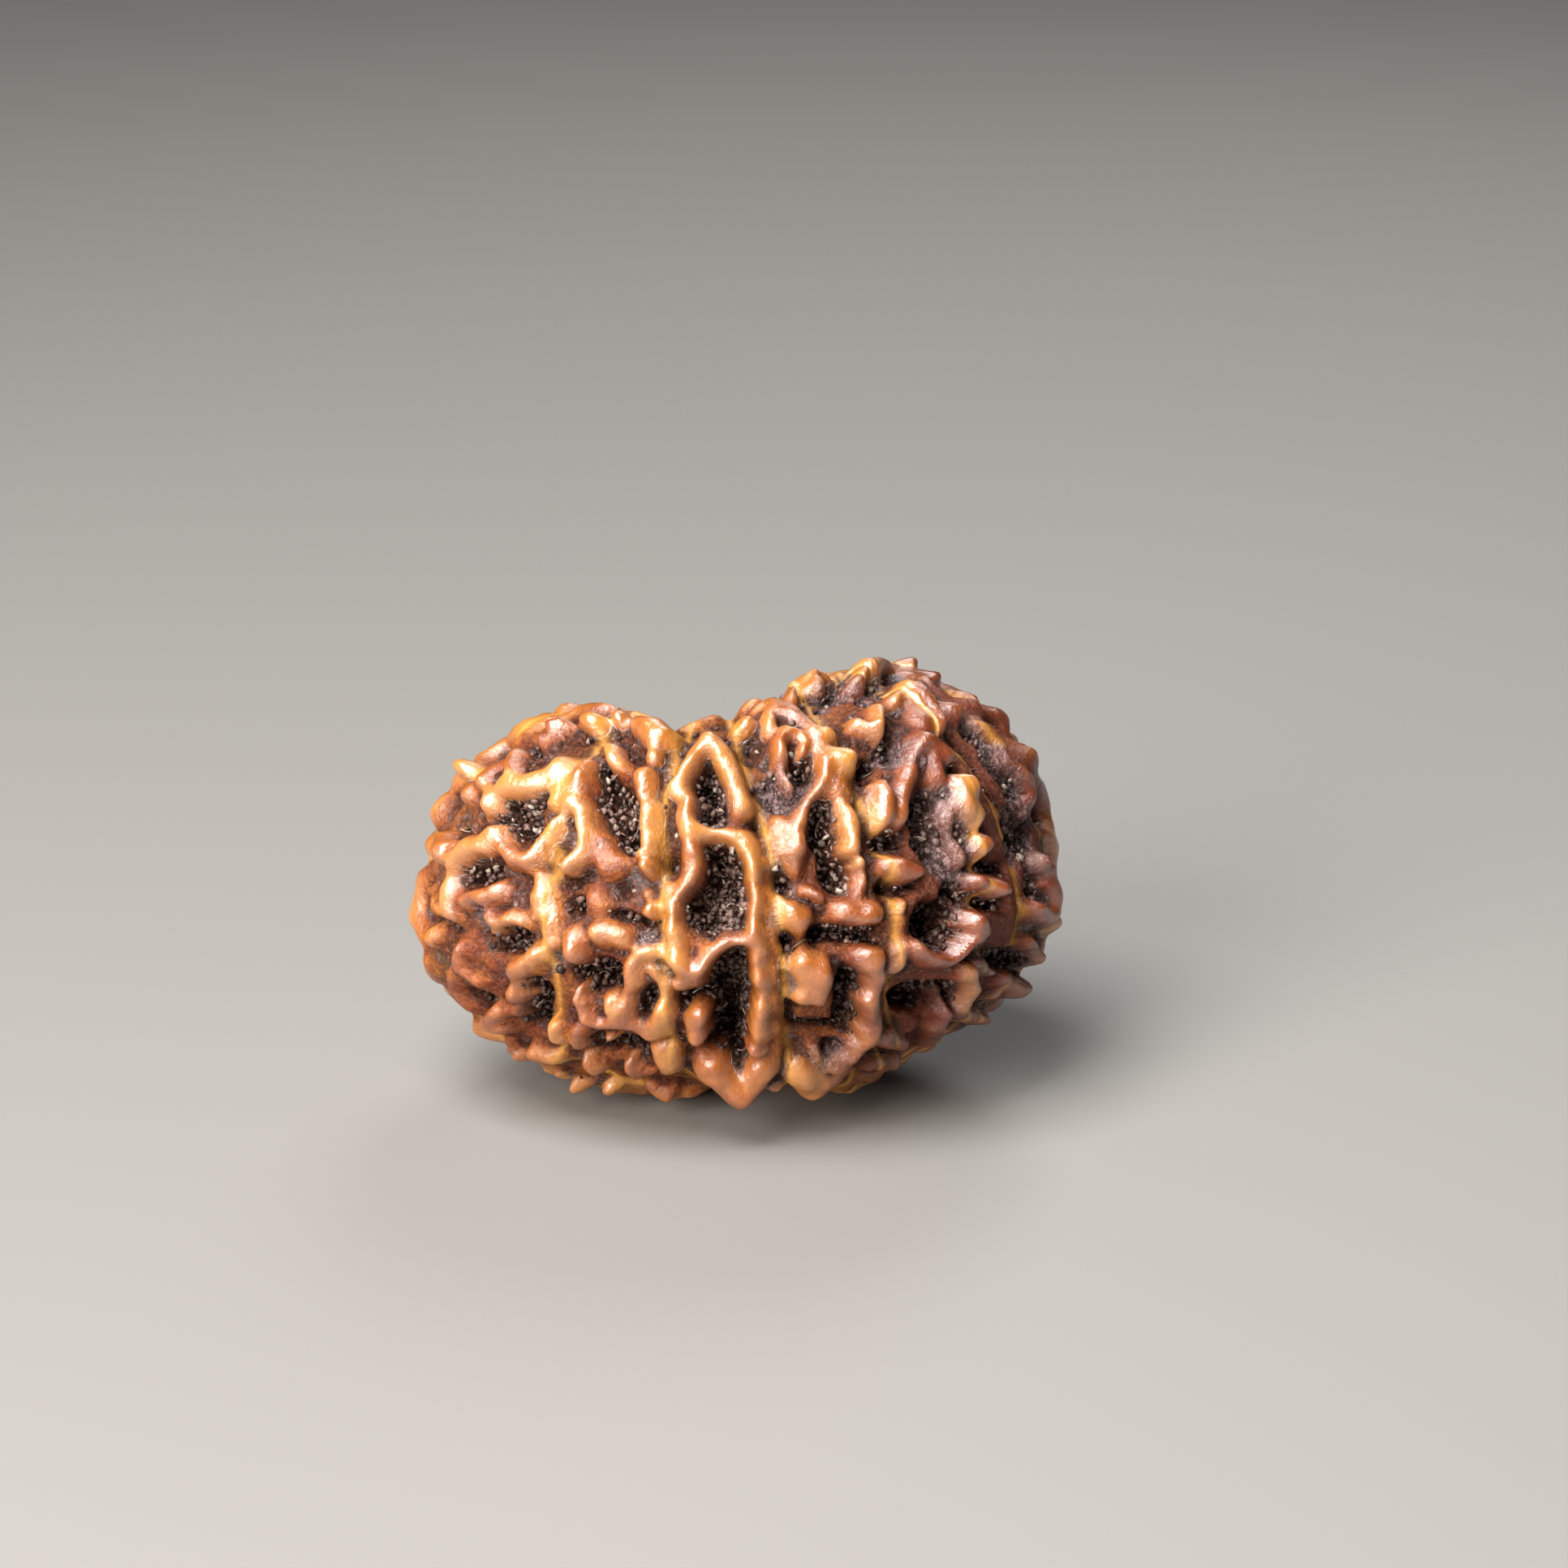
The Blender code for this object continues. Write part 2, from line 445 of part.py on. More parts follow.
def bare_radius(directions):
    """How far the bare form reaches from its middle along each direction."""
    across, back, up = np.abs(directions[..., 0]), np.abs(directions[..., 1]), directions[..., 2]
    plan = (across / HALF_WIDTH) ** PLAN_FULLNESS + (back / HALF_DEPTH) ** PLAN_FULLNESS
    plan = plan ** (1 / PLAN_FULLNESS)
    fullness = np.where(up > 0, UPPER_FULLNESS, LOWER_FULLNESS)
    height = np.where(up > 0, UPPER_HEIGHT * (1 + LOBE_GAIN * directions[..., 0]), LOWER_HEIGHT)
    radius = (plan**fullness + (np.abs(up) / height) ** fullness) ** (-1 / fullness)
    off_valley = (radius * directions[..., 0] - VALLEY_OFFSET) / VALLEY_HALF_WIDTH
    share = VALLEY_SHARE + VALLEY_FALL * directions[..., 1]
    valley = share * smooth_step(up, VALLEY_START, VALLEY_END) * np.exp(-(off_valley**2))
    upper_dimple = UPPER_DIMPLE[0] * smooth_step(up, UPPER_DIMPLE[1], 1)
    lower_dimple = LOWER_DIMPLE[0] * smooth_step(-up, LOWER_DIMPLE[1], 1)
    radius = radius * (1 - valley) * (1 - upper_dimple - lower_dimple)
    for spot, swell in SWELL_SPOTS:
        radius = radius + swell * np.exp((directions @ spot - 1) * 2 / SWELL_SPREAD**2)
    return radius


def front_spot(x, y, lift):
    """The direction from the middle to what the front view shows at a pixel, lift above the bare form."""
    view_up = np.array([0, math.sin(VIEW_HEIGHT), math.cos(VIEW_HEIGHT)])
    eye = VIEW_DISTANCE * np.array([0, -math.cos(VIEW_HEIGHT), math.sin(VIEW_HEIGHT)])
    target = (VIEW_MIDDLE_Y - y) * VIEW_PIXEL * view_up
    target[0] = (x - VIEW_MIDDLE_X) * VIEW_PIXEL
    ray = (target - eye) / np.linalg.norm(target - eye)
    depths = VIEW_DISTANCE + np.arange(-16, 16, 0.04)
    points = (eye + depths[:, None] * ray) @ TURN
    radii = np.linalg.norm(points, axis=1)
    gaps = radii - bare_radius(points / radii[:, None]) - lift
    inside = np.flatnonzero(gaps < 0)
    nearest = inside[0] if len(inside) else np.argmin(gaps)
    return points[nearest] / radii[nearest]


def front_path(numbers, lift):
    """Points on the bare form under a line of front view pixels."""
    spots = np.array([front_spot(x, y, lift) for x, y in zip(numbers[::2], numbers[1::2])])
    return spots * bare_radius(spots)[:, None]


def bearing(directions):
    """The turn round the canal from the front, measured so that equal turns are near equal lengths of rim."""
    return np.arctan2(directions[..., 0] / HALF_WIDTH, -directions[..., 1] / HALF_DEPTH)


def seam_bearings(latitudes):
    """One row for each seam: its bearing at each latitude. The rear ones run straight from pole to pole."""
    seams = []
    for numbers in FRONT_SEAMS:
        spots = np.array([front_spot(x, y, 0.2) for x, y in zip(numbers[::2], numbers[1::2])])
        heights = np.arcsin(spots[:, 2])
        order = np.argsort(heights)
        line = np.interp(latitudes, heights[order], bearing(spots)[order])
        width = max(3, len(latitudes) // 16 * 2 + 1)
        padded = np.pad(line, width // 2, mode="edge")
        line = np.convolve(padded, np.ones(width) / width, mode="valid")
        seams.append(np.maximum(line, seams[-1] + LEAST_FACE) if seams else line)
    first = seams[0] + 2 * math.pi
    rng = np.random.default_rng(SEED)
    for index in range(1, REAR_SEAMS + 1):
        share = index / (REAR_SEAMS + 1) + rng.uniform(-SEAM_UNEVEN, SEAM_UNEVEN)
        sway = SEAM_UNEVEN * np.sin(3 * latitudes + rng.uniform(0, 6))
        seams.append(seams[len(FRONT_SEAMS) - 1] * (1 - share - sway) + first * (share + sway))
    return np.array(seams + [first])


def near_path(points, path, reach):
    """The indices of the points within reach of a path, and how far each of them is from it."""
    middle = (path.min(axis=0) + path.max(axis=0)) / 2
    spread = np.linalg.norm(path - middle, axis=1).max() + reach
    close = np.flatnonzero(((points - middle) ** 2).sum(axis=1) < spread**2)
    near = points[close]
    nearest = np.linalg.norm(near - path[0], axis=1)
    for start, end in zip(path, path[1:]):
        along = end - start
        share = np.clip((near - start) @ along / (along @ along), 0, 1)
        nearest = np.minimum(nearest, np.linalg.norm(near - start - share[:, None] * along, axis=1))
    return close, nearest


def front_relief(points):
    """The heights raised by the forms that the front view shows, and the depths sunk by its pits."""
    raised = np.zeros(len(points))
    sunk = np.zeros(len(points))
    for _, height, reach, *numbers in FRONT_FORMS:
        path = front_path(numbers, max(height, 0))
        slim = np.clip((BROAD_REACH - reach) / (BROAD_REACH - SLIM_REACH), 0, 1)
        if height > 0:
            line = len(path) > 1
            reach *= 1 + FLARE * slim * line
            close, distance = near_path(points, path, reach)
            power = 1 + SLIM_POWER * slim if line else KNOB_POWER
            raised[close] += (height * np.clip(1 - (distance / reach) ** 2, 0, 1) ** power) ** JOIN_POWER
        else:
            close, distance = near_path(points, path, reach)
            wall = min(PIT_WALL, 0.8 * reach)
            sunk[close] += (-height * smooth_step(distance, reach, reach - wall)) ** JOIN_POWER
    return raised ** (1 / JOIN_POWER), sunk ** (1 / JOIN_POWER)


def net_cells(seams, latitudes):
    """Where the net's pits are, two to a row on each face in staggered pairs, and how deep each one is."""
    rng = np.random.default_rng(SEED + 1)
    cells = []
    depths = []
    for face in range(len(seams) - 1):
        for row in range(CELL_ROWS):
            for side in (0, 1):
                share = (row + 0.5 * side + rng.uniform(-CELL_JITTER, CELL_JITTER)) / CELL_ROWS
                latitude = math.radians(CELL_HEIGHTS[0] + share * (CELL_HEIGHTS[1] - CELL_HEIGHTS[0]))
                across = CELL_PLACES[side] + rng.uniform(-CELL_JITTER, CELL_JITTER) / 2
                left, right = (np.interp(latitude, latitudes, seams[face + step]) for step in (0, 1))
                spot = direction_of(np.array(left + across * (right - left)), latitude)
                cells.append(spot * bare_radius(spot))
                depths.append(rng.uniform(*NET_PITS))
    return np.array(cells), np.array(depths)


def net_relief(points, seams, latitudes):
    """The heights raised by the net's ridges and knots, and the depths sunk by its pits."""
    cells, depths = net_cells(seams, latitudes)
    raised = np.zeros(len(points))
    sunk = np.zeros(len(points))
    for start in range(0, len(points), NET_BATCH):
        part = slice(start, start + NET_BATCH)
        apart = np.linalg.norm(points[part, None] - cells[None], axis=2)
        order = np.argpartition(apart, 3, axis=1)[:, :3]
        three = np.take_along_axis(apart, order, axis=1)
        sort = np.argsort(three, axis=1)
        three = np.take_along_axis(three, sort, axis=1)
        owner = np.take_along_axis(order, sort, axis=1)[:, 0]
        wall = np.clip(1 - ((three[:, 1] - three[:, 0]) / NET_REACH) ** 2, 0, 1) ** NET_POWER
        knot = np.clip(1 - ((three[:, 2] - three[:, 0]) / KNOT_REACH) ** 2, 0, 1) ** NET_POWER
        raised[part] = NET_HEIGHT * wall + KNOT_HEIGHT * knot
        sunk[part] = depths[owner] * smooth_step(three[:, 1] - three[:, 0], *NET_FLOOR)
    return raised, sunk


def waves(points, length):
    """A smooth uneven value from about -1 to 1 at each point."""
    return np.array([noise.noise(point / length) for point in points])


def warped(points):
    """The points pushed about a little, so that no form keeps a perfect outline."""
    pushes = [waves(points + offset, WARP_LENGTH) for offset in WARP_OFFSETS]
    return points + WARP * np.stack(pushes, axis=-1)


def eased(field):
    """The field with each value drawn halfway to its neighbours along the rows and round the columns."""
    around = (np.roll(field, 1, axis=1) + np.roll(field, -1, axis=1)) / 4 + field / 2
    padded = np.pad(around, ((1, 1), (0, 0)), mode="edge")
    return (padded[:-2] + padded[2:]) / 4 + around / 2


def behind_top(bare, latitudes):
    """One from where the top turns away from the front view on to the upper pole, and nought elsewhere."""
    down = np.gradient(bare, axis=0)
    around = np.roll(bare, -1, axis=1) - np.roll(bare, 1, axis=1)
    outward = np.cross(down, around)
    eye = np.array([0, -math.cos(VIEW_HEIGHT), math.sin(VIEW_HEIGHT)]) @ TURN
    facing = outward @ eye / np.linalg.norm(outward, axis=-1)
    cover = smooth_step(facing, *TOP_EDGE) * (latitudes > TOP_START)[:, None]
    return np.maximum.accumulate(cover[::-1])[::-1]


def bead_points(columns, rows):
    """Every point of the bead's surface in millimetres, on rows from pole to pole and columns round it."""
    latitudes = np.linspace(UPPER_LATITUDE, LOWER_LATITUDE, rows + 1)
    seams = seam_bearings(latitudes[::-1])[:, ::-1]
    faces = len(seams) - 1
    across = np.linspace(0, 1, columns + 1)[:-1]
    turn = seams[:-1, None] * (1 - across[:, None]) + seams[1:, None] * across[:, None]
    turn = turn.reshape(-1, rows + 1).T
    directions = direction_of(turn, latitudes[:, None] + 0 * turn)
    radius = bare_radius(directions)
    bare = directions * radius[..., None]
    seam_lines = bare[:, ::columns]
    widths = np.linalg.norm(np.roll(seam_lines, -1, axis=1) - seam_lines, axis=2)
    share = np.tile(across, faces)
    from_seam = np.repeat(widths, columns, axis=1) * np.minimum(share, 1 - share)

    points = bare.reshape(-1, 3)
    moved = warped(points)
    raised, sunk = front_relief(moved)
    net_raised, net_sunk = net_relief(moved, seams[:, ::-1], latitudes[::-1])
    eye = np.array([0, -math.cos(VIEW_HEIGHT), math.sin(VIEW_HEIGHT)]) @ TURN
    outward = points * np.array([HALF_WIDTH, HALF_DEPTH, LOWER_HEIGHT]) ** -2.0
    facing = outward @ eye / np.linalg.norm(outward, axis=1)
    hidden = np.maximum(smooth_step(facing, *FRONT_EDGE), behind_top(bare, latitudes).reshape(-1))
    raised = BLUNT * np.tanh((raised + hidden * net_raised) / BLUNT)
    spread = raised.reshape(radius.shape)
    for _ in range(FILL_ROUNDS):
        spread = eased(spread)
    raised = (1 - FILL_CUT * FILL_SHARE) * raised + FILL_SHARE * spread.reshape(-1)
    sunk = (sunk + hidden * net_sunk) * (1 - smooth_step(raised, *PIT_LIP))
    groove = SEAM_DEPTH * np.clip(1 - from_seam / SEAM_REACH, 0, 1) ** 2
    relief = FACE_BULGE * np.sin(np.pi * share) ** FACE_FULLNESS - groove
    relief = relief.reshape(-1) + WAVE_HEIGHT * waves(points, WAVE_LENGTH) + raised - sunk - GROUND

    calm = smooth_step(np.hypot(bare[..., 0], bare[..., 1]), CANAL_RADIUS, CALM_RADIUS)
    radius = radius + eased(relief.reshape(radius.shape)) * calm
    world = directions @ TURN.T
    fall = np.maximum(-world[..., 2], 0.1)
    table = np.where(world[..., 2] < -0.1, MIDDLE_HEIGHT / fall, np.inf)
    foot = world[..., :2] * (MIDDLE_HEIGHT / fall)[..., None] - FOOT_PLACE
    worn = smooth_step(np.hypot(foot[..., 0], foot[..., 1]), *FOOT_RADII) * (world[..., 2] < -0.5)
    radius = radius + worn * np.clip(table - radius, 0, 2)
    return directions * np.minimum(radius, table)[..., None], turn


def canal_rings(opening, turn, end_turn, rings):
    """Rings of points from an opening of the canal down to its middle."""
    height = opening[:, 2].mean() - math.copysign(CANAL_DEPTH, opening[:, 2].mean())
    middle_turn = (turn + end_turn) / 2
    result = []
    for ring in range(rings):
        share = ring / (rings - 1)
        angle = turn * (1 - share) + middle_turn * share
        spot = direction_of(angle, 0)
        spot = spot * CANAL_RADIUS
        result.append(np.stack([spot[:, 0], spot[:, 1], height * (1 - share) + 0 * angle], axis=1))
    return result


def bead_mesh(columns, rows):
    """The bead as a closed mesh: a grid wrapped round it and down its canal, welded where its edges meet."""
    outside, turn = bead_points(columns, rows)
    upper = canal_rings(outside[0], turn[0], turn[-1], CANAL_RINGS)
    lower = canal_rings(outside[-1], turn[-1], turn[0], CANAL_RINGS)
    places = np.concatenate([upper[::-1], outside, lower])
    places = np.concatenate([places, places[:, :1]], axis=1)
    places = np.round(places @ TURN.T + np.array([PLACE_X, PLACE_Y, MIDDLE_HEIGHT]), 5)

    grid = bmesh.new()
    bmesh.ops.create_grid(grid, x_segments=places.shape[1] - 1, y_segments=places.shape[0] - 1, size=0.5)
    for vertex in grid.verts:
        column = round((vertex.co.x + 0.5) * (places.shape[1] - 1))
        row = round((vertex.co.y + 0.5) * (places.shape[0] - 1))
        vertex.co = places[row, column] * MM
    bmesh.ops.remove_doubles(grid, verts=grid.verts, dist=1e-7)
    bmesh.ops.recalc_face_normals(grid, faces=grid.faces)
    mesh = bpy.data.meshes.new(NAME)
    grid.to_mesh(mesh)
    grid.free()
    return mesh


def woody_material():
    """Oiled brown wood."""
    material = bpy.data.materials.new("oiled_endocarp")
    material.use_nodes = True
    shader = material.node_tree.nodes["Principled BSDF"]
    shader.inputs["Base Color"].default_value = WOOD_COLOUR
    shader.inputs["Roughness"].default_value = WOOD_ROUGHNESS
    shader.inputs["Metallic"].default_value = 0.0
    return material


def crossing_corners(shape):
    """The corners of all faces that cut through another face without sharing a corner with it."""
    shape.verts.index_update()
    shape.faces.ensure_lookup_table()
    tree = BVHTree.FromBMesh(shape)
    corners = set()
    for first, second in tree.overlap(tree):
        if first < second:
            one, other = set(shape.faces[first].verts), set(shape.faces[second].verts)
            if not one & other:
                corners |= one | other
    return sorted(corners, key=lambda corner: corner.index)


def thinned(mesh):
    """The mesh with only the triangles that its relief needs, level where it rests and crossing nowhere."""
    holder = bpy.data.objects.new(NAME, mesh)
    bpy.context.scene.collection.objects.link(holder)
    thin = holder.modifiers.new("Thin", "DECIMATE")
    thin.ratio = TRIANGLES / sum(len(face.vertices) - 2 for face in mesh.polygons)
    bpy.context.view_layer.update()
    shape = bmesh.new()
    shape.from_object(holder, bpy.context.evaluated_depsgraph_get())
    bpy.data.objects.remove(holder, do_unlink=True)
    bpy.data.meshes.remove(mesh)
    for vertex in shape.verts:
        if vertex.co.z < LEVEL_REACH * MM:
            vertex.co.z = 0
    for _ in range(UNTANGLE_ROUNDS):
        corners = crossing_corners(shape)
        if not corners:
            break
        level = {corner for corner in corners if corner.co.z == 0}
        bmesh.ops.smooth_vert(
            shape, verts=corners, factor=0.5, use_axis_x=True, use_axis_y=True, use_axis_z=True
        )
        for corner in level:
            corner.co.z = 0
    thin_mesh = bpy.data.meshes.new(NAME)
    shape.to_mesh(thin_mesh)
    shape.free()
    return thin_mesh


def build_bead():
    """The bead object."""
    mesh = thinned(bead_mesh(FACE_COLUMNS, ROWS))
    mesh.shade_smooth()
    mesh.materials.append(woody_material())
    bead = bpy.data.objects.new(NAME, mesh)
    bpy.context.scene.collection.objects.link(bead)
    return bead


def clear_scene():
    for item in list(bpy.data.objects):
        bpy.data.objects.remove(item, do_unlink=True)


clear_scene()
build_bead()
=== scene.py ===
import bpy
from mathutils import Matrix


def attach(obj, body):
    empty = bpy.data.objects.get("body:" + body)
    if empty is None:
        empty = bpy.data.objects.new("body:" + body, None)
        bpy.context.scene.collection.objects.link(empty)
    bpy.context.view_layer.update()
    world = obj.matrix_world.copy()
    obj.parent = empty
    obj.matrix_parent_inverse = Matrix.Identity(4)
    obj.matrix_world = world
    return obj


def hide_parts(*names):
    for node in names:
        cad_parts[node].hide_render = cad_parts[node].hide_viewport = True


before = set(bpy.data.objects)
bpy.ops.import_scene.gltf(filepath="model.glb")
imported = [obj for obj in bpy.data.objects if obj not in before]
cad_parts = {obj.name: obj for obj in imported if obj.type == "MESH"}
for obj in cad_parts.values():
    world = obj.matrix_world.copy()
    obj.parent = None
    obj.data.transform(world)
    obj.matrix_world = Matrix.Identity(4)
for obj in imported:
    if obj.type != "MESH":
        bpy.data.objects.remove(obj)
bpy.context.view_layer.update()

import math

import bmesh
import bpy
import numpy as np
from mathutils import Matrix, Quaternion, Vector, noise

MM = 0.001
NAME = "rudraksha_bead"
PIECE = "rudraksha_stone"

# The bare form under the relief, in millimetres from its middle
HALF_WIDTH = 12.35
HALF_DEPTH = 8.7
UPPER_HEIGHT = 8.85
LOBE_GAIN = 0.045
LOWER_HEIGHT = 7.3
PLAN_FULLNESS = 2.15
UPPER_FULLNESS = 3.1
LOWER_FULLNESS = 1.8

# The valley between the two lobes, which holds the upper pole
VALLEY_SHARE = 0.25
VALLEY_FALL = 0.3
VALLEY_START = 0.5
VALLEY_END = 0.9
VALLEY_HALF_WIDTH = 3.0
VALLEY_OFFSET = -1.1
UPPER_DIMPLE = (0.16, 0.85)
LOWER_DIMPLE = (0.1, 0.88)

# Broad swells and dents of the bare form: bearing and latitude in degrees, and height in millimetres
SWELLS = (
    ("crown", 77, 57, -0.4),
    ("right shoulder", 101, 42, -0.15),
    ("valley", -15, 59, -0.25),
    ("left crown", -99, 49, -0.1),
    ("left shoulder", -95, 35, -0.5),
    ("left end", -81, -9, 0.4),
    ("left underside", -76, -30, 0.2),
    ("low left", -75, -57, -0.35),
    ("chin", -7, -59, 0.4),
    ("low right", 28, -62, 0.5),
    ("right underside", 87, -40, -0.3),
    ("right end", 81, -21, 0.4),
)
SWELL_SPREAD = math.radians(14)

# How the bead lies: the right lobe up, the upper pole back, and its lowest knobs worn flat
ROLL = math.radians(5)
LEAN = math.radians(17)
MIDDLE_HEIGHT = 7.9
FOOT_PLACE = (0.3, 1.6)
FOOT_RADII = (2.1, 1.3)
FOOT_SLOPE = 0.5
LEAST_FALL = 0.1
WEAR_LIMIT = 2
MIDDLE = (0.17, -0.42, MIDDLE_HEIGHT)

# The natural canal along the axis
CANAL_RADIUS = 0.95
CANAL_RINGS = 3
CANAL_DEPTH = 0.7
UPPER_LATITUDE = math.radians(74)
LOWER_LATITUDE = math.radians(-80)
CALM_RADIUS = 2.6

# Relief that every face has, in millimetres
FACE_BULGE = 0.15
BULGE_POWER = 0.7
SEAM_DEPTH = 0.3
SEAM_REACH = 0.45
THREAD_HEIGHT = 0.22
THREAD_REACH = 0.13
WAVE_HEIGHT = 0.1
WAVE_LENGTH = 1.3
WARP = 0.16
WARP_LENGTH = 1.6
WARP_OFFSETS = (31.0, 57.0, 83.0)
PIT_WALL = 0.5
WALL_SHARE = 0.8
TONE_SHARE = 0.55
MERGE = 4

# The mesh: columns for each of the faces that the front view shows and for each other face, and rows
FRONT_COLUMNS = 34
REAR_COLUMNS = 15
ROWS = 236

# How the raised and sunk forms are shaped, most of them slimmer than the solid's
FLARE = 0.12
FLAT_TOP = 2.5
LINE_POWER = 0.85
SLIM_POWER = 0.55
GROUND = 0.08
BROAD_REACH = 0.9
SLIM_REACH = 0.4
LINE_SHARE = 0.86
KNOB_SHARE = 0.95
PIT_SHARE = 1.28
KNOB_POWER = 0.8
PIT_LIP = (0.42, 0.95)
FILL_SHARE = 0.2
FILL_KEPT = 0.88
FILL_ROUNDS = 50
BLUNT = 2.2

# Lumps and grain on the floors of the pits, fine waves on the ridges, and pale patches, in millimetres
LUMP_HEIGHT = 0.17
LUMP_LENGTH = 0.62
LUMP_SHARE = 0.25
GRAIN_HEIGHT = 0.15
GRAIN_LENGTH = 0.3
GRAIN_SHARE = 0.1
UNEVEN = 0.36
UNEVEN_LENGTH = 0.9
RIPPLE_HEIGHT = 0.055
RIPPLE_LENGTH = 0.45
FINE_WARP = 0.14
FINE_WARP_LENGTH = 0.7
PALE_LENGTH = 2.4
HOLLOW_GRAIN = 0.18
SEAM_GLOW = 0.8
HOLLOW_ROUNDS = 36
HOLLOW_REACH = 0.3
DAMP_HOLLOWS = (0, 0.5)

# Where the marks that colour the bead start and are full: heights and depths in millimetres, and shares
PIT_DEPTHS = (0.2, 0.9)
LEVEL_DEPTHS = (0.25, 0.7)
FLOOR_HEIGHTS = (0.2, 0.6)
CREST_HEIGHTS = (0.3, 1.1)
SEAM_LEVELS = (0.4, 0.9)
PALE_WAVES = (-0.2, 0.3)
PALE_SHARE = 0.9
GREY_CREST = 0.85

# Dried pulp left in the pits: how many crumbs and fibres there are, their sizes in millimetres, where they
# may lie, and how much painted shade darkens the crumbs low on the bead
CRUMBS = 5600
CRUMB_RADIUS = (0.07, 0.17)
CRUMB_STRETCH = (0.45, 1.5)
DIM = 0.3
DIM_HEIGHTS = (4.0, 12.0)
CRUMB_CHIPS = (0.5, 1.35)
CRUMB_LIFT = (-0.2, 0.5)
FIBRES = 300
PULP_CLEARANCE = 0.45
PULP_HOLLOWS = (0.1, 0.6)
GREY_PULP = 0.3
STRAY_PULP = 0.03
FIBRE_RADIUS = (0.018, 0.039)
FIBRE_BEND = (0.18, 0.5)
FIBRE_TURN = (1.0, 2.4)
FIBRE_LIFT = (0.05, 0.16)
FIBRE_TILT = 0.7
FIBRE_TINT = (0.35, 1)
FIBRE_STEPS = 5
PULP_SEED = 28
BATCH = 120

# What a form's name says about its colour. Forms named for their gloss join the pale tone, so it is partly a
# painted highlight, and forms named wet or lilac join the grey tone, so it is partly a painted sheen
TONES = {
    "grey": ("grey", "lilac", "wet", "torn"),
    "red": ("red", "maroon", "mauve", "brown"),
    "pale": ("pale", "yellow", "gloss", "pearl", "loop", "brow", "arch", "orange", "berry"),
}

# The front view that places are read in: 20 degrees above the table, 30 pixels to a millimetre
VIEW_HEIGHT = math.radians(20)
VIEW_DISTANCE = 215.0
VIEW_PIXEL = 1 / 30
VIEW_MIDDLE_X = 913
VIEW_MIDDLE_Y = 1118
TO_EYE = np.array([0, -math.cos(VIEW_HEIGHT), math.sin(VIEW_HEIGHT)])
VIEW_UP = np.array([0, math.sin(VIEW_HEIGHT), math.cos(VIEW_HEIGHT)])
SIGHT_DEPTHS = VIEW_DISTANCE + np.arange(-16, 16, 0.04)

# Seams as the front view shows them, top to bottom: x and y of each point in its pixels
FRONT_SEAMS = (
    (560, 1000, 552, 1045, 542, 1080, 540, 1140, 546, 1200, 560, 1240),
    (722, 932, 703, 968, 692, 1010, 682, 1080, 680, 1140, 685, 1200, 692, 1260, 712, 1310),
    (838, 922, 822, 965, 820, 1010, 816, 1060, 818, 1110, 820, 1180, 826, 1230, 834, 1290, 846, 1330),
    (908, 925, 926, 965, 940, 1012, 950, 1060, 958, 1110, 962, 1180, 965, 1250, 967, 1330),
    (978, 838, 1002, 870, 1022, 915, 1045, 965, 1064, 1010, 1082, 1045, 1097, 1080, 1100, 1130, 1098, 1190,
     1092, 1250, 1078, 1300, 1060, 1335),
    (1146, 900, 1162, 945, 1182, 1000, 1198, 1045, 1204, 1090, 1206, 1130, 1200, 1180,
     1184, 1240, 1168, 1268),
    (1160, 900, 1197, 938, 1217, 970, 1236, 1003, 1250, 1045, 1258, 1090, 1258, 1140, 1246, 1190),
    (1165, 885, 1222, 908, 1250, 958, 1280, 1010, 1290, 1050, 1290, 1095, 1284, 1140, 1274, 1185),
)
REAR_SEAMS = 7
LEAST_FACE = math.radians(6)
SEAM_UNEVEN = 0.035
SEAM_LIFT = 0.2
SEAM_EASE = 16

